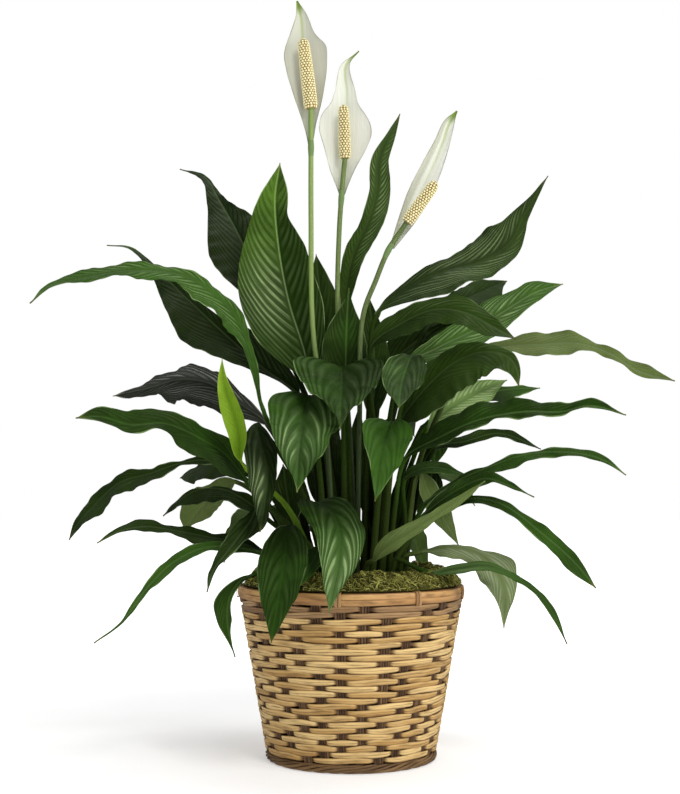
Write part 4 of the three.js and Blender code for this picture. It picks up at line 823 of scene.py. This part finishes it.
def add_spathe(body, name, points, bearing, roll, fold, painted_greyness):
    line = Line(points)
    u = np.linspace(0.02, 1, 90)
    a = np.linspace(-1, 1, 27)
    side, upper = axes_at(line.tangent(line.total * u), bearing, roll + 0 * u)
    places, left, right = SPATHE_WIDTHS[name]
    halves = np.maximum([soft_curve(u, places, right), soft_curve(u, places, left)], 0.5)[..., None]
    length = line.total * u
    u = u[:, None]
    local = np.where(a < 0, halves[0], halves[1])
    far_out = np.abs(a)
    out = far_out * local
    tilt = np.radians(fold * (1 - 0.3 * u) + 14 * (1 - u) ** 2)
    cup = local * np.tan(tilt) * (0.35 * far_out + 0.65 * a * a)
    ripple = 0.9 * np.sin(9 * u) * a * a + 0.35 * np.sin(31 * u + 1.3) * far_out ** 3
    vein = 0.16 * np.cos(out * 2.1) * smooth(out, 1.5, 5)
    lift = cup + ripple + vein - 0.1 * (1 - u) * a * a * local
    thick = 0.3
    rib = 0.9 * np.exp(-(out / 1.8) ** 2) * np.minimum(1, 0.3 + 1.2 * u)
    centre = line.at(length)[:, None] + (np.sign(a) * out)[..., None] * side[:, None]
    top = centre + (lift + thick)[..., None] * upper[:, None]
    under = centre + (lift - thick - rib)[..., None] * upper[:, None]
    grid = two_faced(top, under)
    level = 0 * out
    # painted shade: the left half of the right spathe is painted grey as its shaded side; the others are
    # painted greyer towards their margins
    grey = level + painted_greyness + (0.85 * smooth(a, 0.3, 0.55) if name == "right" else 0.25 * far_out ** 3)
    body.add(grid, skin(grid), rib=two_faced(out, out), along=two_faced(u + level, u + level),
             under=two_faced(level, level + 1), edge=two_faced(local - out, local - out),
             grey=two_faced(grey, grey))


FLORET_PITCH = 3.1
FLORET_SIDES = 6
# Radius, height and painted light of each ring of a floret's dome: light on top, painted shade at its
# foot, in the gaps between florets.
FLORET_TIERS = np.array([(1.44, -0.6, 0.0), (1.26, 0.2, 0.5), (0.78, 0.78, 0.95), (0.22, 0.92, 1.0)])


def add_spadix(body, base, top, radius):
    """A blunt finger whose florets are low domes set in crossing spirals."""
    axis = top - base
    length = np.linalg.norm(axis)
    axis = axis / length
    side = unit(np.cross(axis, np.array([0.0, 1.0, 0.0])))
    up = np.cross(side, axis)

    def girth(z):
        blunt = np.sqrt(np.clip(1 - np.clip((z - length + radius * 1.3) / (radius * 1.3), 0, 1) ** 2, 0.0, 1))
        return radius * blunt * (0.86 + 0.14 * smooth(z, 0, 5)) * (1 - 0.14 * smooth(z, 0.3 * length, length))

    z = np.linspace(0, length, 26)
    turn = full_circle(20)[:, None]
    ring = side * np.cos(turn) + up * np.sin(turn)
    core = base + axis * z[:, None, None] + ring * np.maximum(girth(z) - 0.5, 0.3)[:, None, None]
    body.add(core, skin(core), bead=0.0)
    most = round(FULL_TURN * radius / FLORET_PITCH)
    rise = FLORET_PITCH * 0.84
    places = []
    for row in range(int((length - 0.6) / rise + 0.5)):
        height = (row + 0.5) * rise
        count = max(4, round(most * float(girth(height)) / radius))
        places += [(height, FULL_TURN * (k + 0.5 * (row % 2)) / count) for k in range(count)]
    faces = tube_faces(1, len(FLORET_TIERS), FLORET_SIDES)[:, ::-1]
    last = (len(FLORET_TIERS) - 1) * FLORET_SIDES
    faces = np.vstack([faces, last + np.array([[0, 1, 2, 3], [0, 3, 4, 5]])])
    spin = full_circle(FLORET_SIDES)[:, None]
    for height, angle in places + [(length, 0.0)]:
        face = axis
        centre = base + axis * height
        if height < length:
            out = side * math.cos(angle) + up * math.sin(angle)
            slope = float(girth(height + 0.5)) - float(girth(max(height - 0.5, 0)))
            face = unit(out - axis * max(slope, -3.0))
            centre = centre + out * float(girth(height))
        size = 1 + 0.1 * math.sin(7.3 * height + 5.1 * angle)
        one = unit(np.cross(face, axis + 0.3 * side + 0.2 * up))
        flat = one * np.cos(spin) + np.cross(one, face) * np.sin(spin)
        dome = np.array([centre + (flat * r + face * h) * size for r, h, _ in FLORET_TIERS])
        body.add(dome, faces, bead=np.repeat(FLORET_TIERS[:, 2], FLORET_SIDES))


COLLAR_SWELL = np.array([0.05, 0.15, 0.3, 0.45, 0.55, 0.5, 0.4, 0.25, 0.1])

for name, place, stalk, spathe, bearing, roll, fold, top, radius, tint, painted_greyness in BLOOMS:
    foot = foot_point(place, SOIL_CROWN + FOOT_RISE)
    stalk = all_seen(stalk)
    line = Line([*stem_points(foot, SOIL_CROWN + FOOT_RISE, stalk[0]), *stalk])
    path = np.vstack([line.at(0.0) - np.array([0, 0, ROOT]), line.at(np.linspace(0, line.total, 70))])
    ring = tubes(path[None], STALK - 0.05, STALK_SIDES, across=(0, 1, 0))
    body = Body()
    body.add(ring, skin(ring[0]), along=np.repeat(np.linspace(0, 1, len(path)), STALK_SIDES),
             turn=np.tile(np.abs(np.arange(STALK_SIDES) - 8) / 8.0, len(path)), tint=tint)
    body.piece("stalk_" + name + "_stem", STALK_MATERIAL, "stalk", "stalk_" + name)
    points = all_seen(spathe)
    body = Body()
    add_spathe(body, name, points, bearing, roll, fold, painted_greyness)
    neck = line.total - np.linalg.norm(stalk[-1] - points[0])
    collar = line.at(np.linspace(neck - 9, neck + 7, len(COLLAR_SWELL)))
    ring = tubes(collar[None], STALK + COLLAR_SWELL, STALK_SIDES, across=(0, 1, 0))
    body.add(ring, skin(ring[0]), rib=0.0, along=-0.05, under=0.0, edge=5.0, grey=0.3)
    body.piece("spathe_" + name + "_petal", SPATHE_MATERIAL, "spathe", "spathe_" + name)
    body = Body()
    add_spadix(body, line.at(line.total) - line.tangent(line.total) * 0.5, seen(top), radius)
    body.piece("spadix_" + name + "_florets", SPADIX_MATERIAL, "spadix", "spadix_" + name, sharp=0)


# ---- basket ---------------------------------------------------------------
def cane_material(name, dark, tan, pale, roughness):
    s = Shade(name, roughness, 0.4)
    lengthways = s.value("lengthways")
    crossways = s.value("crossways")
    strand = s.value("strand")
    grain = s.noise(1.0, 4, s.times(lengthways, 0.05), s.times(crossways, 1.6), strand)
    patch = s.noise(1.0, 2, s.times(lengthways, 0.02), strand, 0.0)
    tone = s.plus(s.value("tone"), s.maths("SUBTRACT", patch, 0.5))
    s.start(s.step(tone, 0.1, 0.9), tan, pale)
    # painted highlight on the upper part of each strip and painted shade on its lower part
    s.coat(s.step(crossways, 0.0, 0.75, 0.0, 0.45), pale)
    s.coat(s.step(crossways, -0.1, -0.8, 0.0, 0.3), dark)
    s.coat(s.step(grain, 0.42, 0.75, 0.0, 0.6), dark)
    split = s.maths("ABSOLUTE", s.maths("SUBTRACT", crossways, 0.03))
    s.coat(s.times(s.step(split, 0.14, 0.03), s.step(patch, 0.35, 0.65, 0.1, 0.75)), dark)
    # painted shade where a strand goes behind a stake
    s.coat(s.step(s.value("hidden"), 0.15, 0.85, 0.0, 0.92), dark)
    # painted shade along both edges of each strip
    s.coat(s.step(s.maths("ABSOLUTE", crossways), 0.68, 1.0, 0.0, 0.75), dark)
    return s.finish(grain, 0.0006, 0.6, s.step(grain, 0.3, 0.7, roughness - 0.08, roughness + 0.14))


# Dark, middle and light colour of each kind of cane, and its roughness; dark and light also serve for
# painted shade and painted highlight.
CANE_LOOKS = {
    "weavers": ((100, 66, 32), (192, 150, 84), (236, 202, 136), 0.5),
    "top_rows": ((76, 49, 27), (134, 99, 60), (178, 142, 96), 0.5),
    "stakes": ((44, 28, 16), (102, 72, 44), (150, 114, 76), 0.6),
    "rim": ((84, 50, 22), (172, 122, 68), (218, 174, 112), 0.45),
    "foot": ((38, 25, 14), (88, 62, 36), (140, 108, 68), 0.6),
    "wraps": ((58, 34, 17), (152, 108, 62), (198, 156, 102), 0.5),
}
CANES = {name: cane_material("cane_" + name, *looks) for name, looks in CANE_LOOKS.items()}

draw = np.random.default_rng(517)
WALL_LOW = FOOT_RING_TOP + 0.3
WALL_HIGH = BASKET_HEIGHT - RIM_BAND - 0.3
ROW_PITCH = (WALL_HIGH - WALL_LOW) / WEAVE_ROWS
TOP_ROWS = 2
STEPS_A_STAKE = 10
# Section of a strip of cane: how proud and how high each point is, with a split along its face.
STRIP = [(0.25 + 1.05 * math.cos(x) - (0.32 if 0 < x < 0.1 else 0), math.sin(x))
         for x in np.radians([-90, -62, -35, -12, 2, 16, 38, 62, 90])]
STRIP = np.array(STRIP + [(-0.55, 0.86), (-0.8, 0.0), (-0.55, -0.86)])


def wall_middle(z):
    """Radius of the middle of the woven wall."""
    return BASE_RADIUS + TAPER * z - 1.5


def stakes_passed(below):
    """Stakes that a row of cane goes behind: about every third, and none that the row below goes behind."""
    found = [next(k for k in range(int(draw.integers(0, 3)), STAKES) if k not in below)]
    while found[-1] + 2 < found[0] + STAKES - 1:
        steps = draw.permutation([3, 3, 3, 2, 4])
        step = next((d for d in steps if (found[-1] + d) % STAKES not in below), 3)
        found.append(found[-1] + int(step))
    if found[-1] > found[0] + STAKES - 2:
        found.pop()
    return found


lower_rows = Body()
upper_rows = Body()
below = set()
for row in range(WEAVE_ROWS):
    passed = stakes_passed(below)
    below = {k % STAKES for k in passed}
    steps = np.arange(STAKES * STEPS_A_STAKE) / STEPS_A_STAKE + passed[0]
    ends = np.array(passed + [passed[0] + STAKES], float)
    which = np.clip(np.searchsorted(ends, steps, side="right") - 1, 0, len(passed) - 1)
    part = (steps - ends[which]) / (ends[which + 1] - ends[which])
    lens = np.sin(np.pi * part)
    turn = FULL_TURN * steps / STAKES
    waver = 0.3 * np.sin(turn * draw.integers(5, 9) + draw.uniform(0, 6))
    waver = waver + 0.2 * np.sin(turn * draw.integers(11, 17) + draw.uniform(0, 6))
    lean = draw.uniform(-0.9, 0.5, len(passed))[which] * np.sin(FULL_TURN * part)
    stout = draw.uniform(0.82, 1.12, len(passed))[which]
    tone = draw.uniform(0, 1, len(passed))[which]
    tall = 1.5 + 1.8 * stout * np.maximum(lens, 0) ** 0.7
    middle = WALL_LOW + ROW_PITCH * (row + 0.5) + waver + lean
    middle = np.clip(middle, WALL_LOW + tall - 0.6, WALL_HIGH - tall + 0.8)
    z = middle[:, None] + tall[:, None] * STRIP[:, 1]
    lie = 2 * smooth(lens, 0.02, 0.5) - 1 + 0.12 * np.sin(np.pi * part * 3) * lens
    rings = around(wall_middle(z) + 2.2 * lie[:, None] + STRIP[:, 0], turn[:, None], z)
    level = 0 * z
    body = upper_rows if row >= WEAVE_ROWS - TOP_ROWS else lower_rows
    body.add(rings, skin(rings, closed=True), lengthways=level + turn[:, None] * 95,
             crossways=level + STRIP[:, 1], strand=row * 3.7, tone=level + tone[:, None],
             hidden=level + (1 - smooth(lens, 0.12, 0.5))[:, None])
lower_rows.piece("weavers", CANES["weavers"], "cane", "basket_wall")
upper_rows.piece("weavers_upper", CANES["top_rows"], "cane", "basket_wall")

RODS_A_STAKE = 4
ROD_SIDES = 7
rods = Body()
z = np.linspace(3.0, 164, 12)
for k in range(STAKES * RODS_A_STAKE):
    bearing = FULL_TURN * (k // RODS_A_STAKE) / STAKES
    offset = (k % RODS_A_STAKE - 1.5) * 2.6 * (0.9 + z / 1200)
    r = wall_middle(z) + 0.15 * draw.uniform(-1, 1)
    rods.add_tubes(around(r, bearing + offset / r, z)[None], 1.22, ROD_SIDES, across=around(1, bearing, 0),
                   lengthways=np.repeat(z, ROD_SIDES), crossways=0.0, strand=float(k),
                   tone=draw.uniform(0, 1), hidden=0.0)
rods.piece("stakes", CANES["stakes"], "cane", "basket_wall")

RIM_LOW = BASKET_HEIGHT - RIM_BAND
# Sections of the rim's outer and inner band as radius and height over the rim's lower edge, and which
# strand of grain and what tone they have.
RIM_BANDS = [
    ([(110.0, 0.4), (111.9, 0.5), (112.5, 2.6), (112.8, 6), (112.5, 9.4), (111.8, 11.3), (110.2, 11.5)],
     3.0, 0.45),
    ([(106.4, 0.6), (109.2, 0.4), (109.2, 10.6), (108.6, 11.2), (107.0, 11.2), (106.3, 10.4)], 9.0, 0.3),
]
RIM_STEPS = 180
RIM_RADIUS = 110
rim = Body()
turn = full_circle(RIM_STEPS)[:, None]
for section, strand, tone in RIM_BANDS:
    r, z = np.array(section).T
    cross = 2 * (z - z.min()) / (z.max() - z.min()) - 1
    rings = around(r, turn, RIM_LOW + z + 0.25 * np.sin(turn * 7 + strand))
    level = 0 * rings[..., 0]
    rim.add(rings, skin(rings, closed=True), lengthways=level + turn * RIM_RADIUS,
            crossways=level + cross * 0.86, strand=strand, tone=tone, hidden=0.0)
turn = turn[:, 0]
for r in (109.9, 108.3):
    rim.add_tubes(around(r, turn, RIM_LOW + 10.9)[None], 0.95, 8, closed=True, across=(0, 0, 1),
                  lengthways=np.repeat(turn * RIM_RADIUS, 8), crossways=0.0, strand=r, tone=0.2, hidden=0.2)
rim.piece("rim_band", CANES["rim"], "rim_cane", "basket_rim")

# Path of a lashing round the rim, as radius and height over the rim's lower edge, and its middle.
LASHING = np.array([(105.6, -0.3), (113.5, -0.2), (113.9, 2), (113.9, 10), (113.0, 12.2), (110, 12.9),
                    (107, 12.6), (105.4, 11)]) + (0, RIM_LOW)
INNER_LASHING = LASHING + unit(np.array([109.5, RIM_LOW + 6]) - LASHING) * 0.8
# Half the bearing between the two canes of a lashing, in radians.
CANE_APART = 1.75 / 112
wraps = Body()
for k in range(LASHINGS):
    for m in (-1, 1):
        bearing = math.radians(FIRST_LASHING + 360 / LASHINGS * k) + m * CANE_APART
        along = around(1, bearing + np.pi / 2, 0)
        path = around(LASHING[:, 0], bearing, LASHING[:, 1])
        shrink = around(INNER_LASHING[:, 0], bearing, INNER_LASHING[:, 1])
        blend = path * 0.7 + shrink * 0.3
        ring = np.stack([blend - along * 1.3, path - along * 0.7, path + along * 0.7, blend + along * 1.3,
                         shrink + along * 1.2, shrink - along * 1.2], 1)
        wraps.add(ring, skin(ring, closed=True)[:, ::-1],
                  lengthways=np.repeat(np.arange(len(LASHING)) * 5.0, 6),
                  crossways=np.tile([-1, -0.4, 0.4, 1, 0, 0], len(LASHING)) * 0.9, strand=k * 2.0 + m,
                  tone=draw.uniform(0.2, 0.9), hidden=0.0)
wraps.piece("rim_wraps", CANES["wraps"], "rim_cane", "basket_rim")

FOOT_STEPS = 360
FOOT_STRANDS = 6
FOOT_SIDES = 9
foot = Body()
turn = full_circle(FOOT_STEPS)
for m in range(FOOT_STRANDS):
    twist = turn * 5 + m * math.pi / 3 + 0.25 * np.sin(turn * 11 + m)
    path = around(82.0 + 1.6 * np.cos(twist), turn, 4.4 + 2.9 * np.sin(twist))
    foot.add_tubes(path[None], 1.35, FOOT_SIDES, closed=True, across=(0, 0, 1),
                   lengthways=np.repeat(turn * 83, FOOT_SIDES),
                   crossways=np.tile(np.cos(full_circle(FOOT_SIDES)) * 0.8, FOOT_STEPS),
                   strand=20.0 + m, tone=0.15 + 0.14 * m, hidden=0.0)
foot.piece("foot_twist", CANES["foot"], "base_cane", "basket_foot")


# ---- moss -----------------------------------------------------------------
def moss_material(name, spread):
    s = Shade(name, 0.85, 0.2)
    tone = s.plus(s.value("tone"), s.times(s.maths("SUBTRACT", s.noise(30, 3), 0.5), spread))
    s.start(s.step(tone, 0.05, 0.55), (60, 57, 21), (138, 137, 57))
    s.coat(s.step(tone, 0.5, 1.0), (202, 201, 112))
    return s.finish(s.noise(1400, 3), 0.0008, 0.8)


def moss_spill(turn):
    """How far the moss lies over the liner's edge: all the way at the front and right, not at the left."""
    return 0.25 + 0.75 * smooth(np.cos(turn + 0.9), -0.75, -0.2)


def moss_top(r, turn):
    ring = np.interp(r, [0, 56, 62.5, 71, 80, 89, 97, 102, 106, 108, 110.5],
                     [166, 166.5, 172, 180, 184, 184, 181.5, 178, 175.8, 173.8, 171.4])
    lumps = 1.7 * np.sin(turn * 7 + 1.0 + r * 0.11) + 1.3 * np.sin(turn * 13 + r * 0.23)
    lumps = lumps + 0.9 * np.sin(turn * 23 - r * 0.31)
    sunk = 9 * smooth(r, 92, 106) * (1 - moss_spill(turn))
    return ring + lumps * smooth(r, 58, 66) * (1 - 0.75 * smooth(r, 95, 105)) - sunk


moss = Body()
turn = full_circle(220)[:, None]
spilt = smooth(moss_spill(turn), 0.5, 1)
edge = MOSS_EDGE + MOSS_SPILL * spilt
grid_r = MOSS_INNER + (edge - MOSS_INNER) * np.linspace(0, 1, 28)
grid_z = moss_top(grid_r, turn) - 0.8 + draw.uniform(-0.5, 0.5, grid_r.shape)
lip = np.maximum(grid_z[:, -1:] - 1.2, LINER_EDGE) * (1 - spilt) + LINER_EDGE * spilt
level = 0 * turn
foot_r = [level + r for r in (MOSS_EDGE, MOSS_MIDDLE, MOSS_INNER)]
grid_r = np.hstack([grid_r, edge - 0.4, np.minimum(edge, MOSS_LIP), *foot_r])
grid_z = np.hstack([grid_z, lip, lip] + [level + MOSS_FLOOR] * 3)
rings = around(grid_r, turn, grid_z)
moss.add(rings, skin(rings, closed=True)[:, ::-1], tone=0.12)
moss.piece("moss_mound", moss_material("moss_mound", 0.6), "moss", "moss", sharp=0)

THREADS = 9400
THREAD_POINTS = 5
THREAD_SIDES = 3
THREADS_FROM = 57
THREADS_TO = 108.5
ON_SOIL = 500
threads = Body()
r = np.sqrt(draw.uniform(THREADS_FROM ** 2, THREADS_TO ** 2, THREADS))
r[:ON_SOIL] = draw.uniform(20, 58, ON_SOIL)
turn = draw.uniform(0, FULL_TURN, THREADS)
heading = draw.uniform(0, FULL_TURN, THREADS)
reach = draw.uniform(5, 13, THREADS)
bend = draw.uniform(-1.6, 1.6, THREADS)
lift = draw.uniform(0.6, 3.6, THREADS)
s = np.linspace(0, 1, THREAD_POINTS)
course = (heading[:, None] + bend[:, None] * s)[:, :-1]
start = np.zeros((THREADS, 1))
step = reach[:, None] / (THREAD_POINTS - 1)
xs = (r * np.cos(turn))[:, None] + np.hstack([start, np.cumsum(np.cos(course) * step, 1)])
ys = (r * np.sin(turn))[:, None] + np.hstack([start, np.cumsum(np.sin(course) * step, 1)])
trim = np.minimum(1, (100.5 + 9.3 * moss_spill(np.arctan2(ys, xs))) / np.hypot(xs, ys))
xs = xs * trim
ys = ys * trim
far = np.hypot(xs, ys)
zs = moss_top(far, np.arctan2(ys, xs)) - 0.6 + lift[:, None] * np.sin(np.pi * (0.12 + 0.8 * s))
zs = np.maximum(zs, np.where(far > 102.5, LINER_EDGE + 0.3, SOIL_CROWN - 0.5))
thin = draw.uniform(0.24, 0.44, THREADS)[:, None] * np.array([0.7, 1, 1, 0.8, 0.3])
tone = np.repeat(draw.uniform(0, 1, THREADS), THREAD_POINTS * THREAD_SIDES)
threads.add_tubes(np.stack([xs, ys, zs], -1), thin, THREAD_SIDES, tone=tone)
threads.piece("moss_threads", moss_material("moss_threads", 0.9), "moss", "moss", sharp=0)


# ---- CAD pieces that stay -------------------------------------------------
def soil_material():
    s = Shade("potting_soil", 0.9, 0.2)
    crumbs = s.noise(420, 4)
    s.start(s.step(crumbs, 0.35, 0.65), (30, 21, 14), (72, 52, 36))
    s.coat(s.step(s.noise(160, 2), 0.62, 0.7, 0.0, 0.6), (110, 92, 66))
    return s.finish(crumbs, 0.002, 0.9)


def liner_material():
    s = Shade("liner_plastic", 0.38, 0.5)
    scuff = s.noise(180, 3)
    s.start(s.step(scuff, 0.4, 0.7), (22, 22, 21), (48, 47, 44))
    return s.finish(scuff, 0.0003, 0.3, s.step(scuff, 0.3, 0.7, 0.3, 0.5))


def floor_material():
    s = Shade("basket_floor_cane", 0.6, 0.35)
    sockets = {"Vector": s.object_place(), "Scale": 42, "Distortion": 1.2}
    coils = s.node("TexWave", sockets, wave_type="RINGS", rings_direction="Z").outputs["Fac"]
    s.start(s.step(coils, 0.1, 0.7), (54, 32, 16), (150, 108, 62))
    s.coat(s.step(s.noise(240, 3), 0.5, 0.75, 0.0, 0.5), (84, 54, 28))
    return s.finish(coils, 0.0012, 0.8)


CAD_LOOKS = {"soil": soil_material(), "liner": liner_material(), "basket_floor": floor_material()}
for node, material in CAD_LOOKS.items():
    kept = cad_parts[node]
    kept.data.materials.clear()
    kept.data.materials.append(material)


# ---- floor, light and camera ----------------------------------------------
WHITE = (1, 1, 1, 1)
FLOOR_RINGS = (0.25, 0.5, 0.9, 1.6, 3.0, 7.0)
FLOOR_SIDES = 64


def studio_floor():
    mesh = bpy.data.meshes.new("studio_floor")
    rings = [around(r, full_circle(FLOOR_SIDES), 0) for r in FLOOR_RINGS]
    here = np.arange(FLOOR_SIDES)
    after = (here + 1) % FLOOR_SIDES
    faces = np.stack([0 * here, 1 + here, 1 + after], -1).tolist()
    for first in range(1, 1 + FLOOR_SIDES * (len(FLOOR_RINGS) - 1), FLOOR_SIDES):
        outer = first + FLOOR_SIDES
        faces += np.stack([first + here, outer + here, outer + after, first + after], -1).tolist()
    mesh.from_pydata(np.vstack([np.zeros(3), *rings]).tolist(), [], faces)
    s = Shade("studio_paper", 0.9, 0.1)
    fibre = s.noise(60, 3)
    s.start(fibre, (0.86, 0.86, 0.87, 1), (0.9, 0.9, 0.9, 1))
    away = s.node("VectorMath", {0: s.object_place()}, operation="LENGTH").outputs["Value"]
    s.shader.inputs["Emission Color"].default_value = WHITE
    s.tree.links.new(s.step(away, 0.35, 1.1, 0.42, 1.0), s.shader.inputs["Emission Strength"])
    mesh.materials.append(s.finish())
    made = new_object("studio_floor", mesh)
    made.location.z = -0.0002
    made.visible_glossy = False


def soft_light(name, place, aim, size, power, tint=(1, 1, 1)):
    data = bpy.data.lights.new(name, "AREA")
    data.shape = "DISK"
    data.size = size
    data.energy = power
    data.color = tint
    made = new_object(name, data)
    made.location = place
    made.rotation_euler = (Vector(aim) - Vector(place)).to_track_quat("-Z", "Y").to_euler()


studio_floor()
soft_light("key", (0.85, -2.0, 2.2), (0, 0, 0.35), 0.9, 31, (1, 0.985, 0.95))
soft_light("top", (0.25, 0.35, 2.6), (0, 0, 0.2), 1.4, 20)
soft_light("fill", (2.2, -1.2, 1.0), (0, 0, 0.3), 1.4, 17)

world = bpy.data.worlds.new("studio")
bpy.context.scene.world = world
world.use_nodes = True
world.node_tree.nodes.clear()
lighting = new_node(world.node_tree, "Background", {0: WHITE, 1: 0.3})
backdrop = new_node(world.node_tree, "Background", {0: WHITE, 1: 1.0})
path_kind = new_node(world.node_tree, "LightPath")
sockets = enumerate((path_kind.outputs["Is Camera Ray"], lighting.outputs[0], backdrop.outputs[0]))
choose = new_node(world.node_tree, "MixShader", sockets)
new_node(world.node_tree, "OutputWorld", {0: choose.outputs[0]})

view = bpy.context.scene.view_settings
view.view_transform = "Standard"
view.look = "None"

SENSOR = 36
camera = bpy.data.cameras.new("camera")
camera.sensor_width = SENSOR
camera.lens = SENSOR * VIEW_REACH / FRAME_HEIGHT
camera.clip_start = 0.05
camera.clip_end = 40
holder = new_object("camera", camera)
holder.location = EYE * MM
holder.rotation_euler = (math.radians(90 + VIEW_TILT), 0, 0)
bpy.context.scene.camera = holder
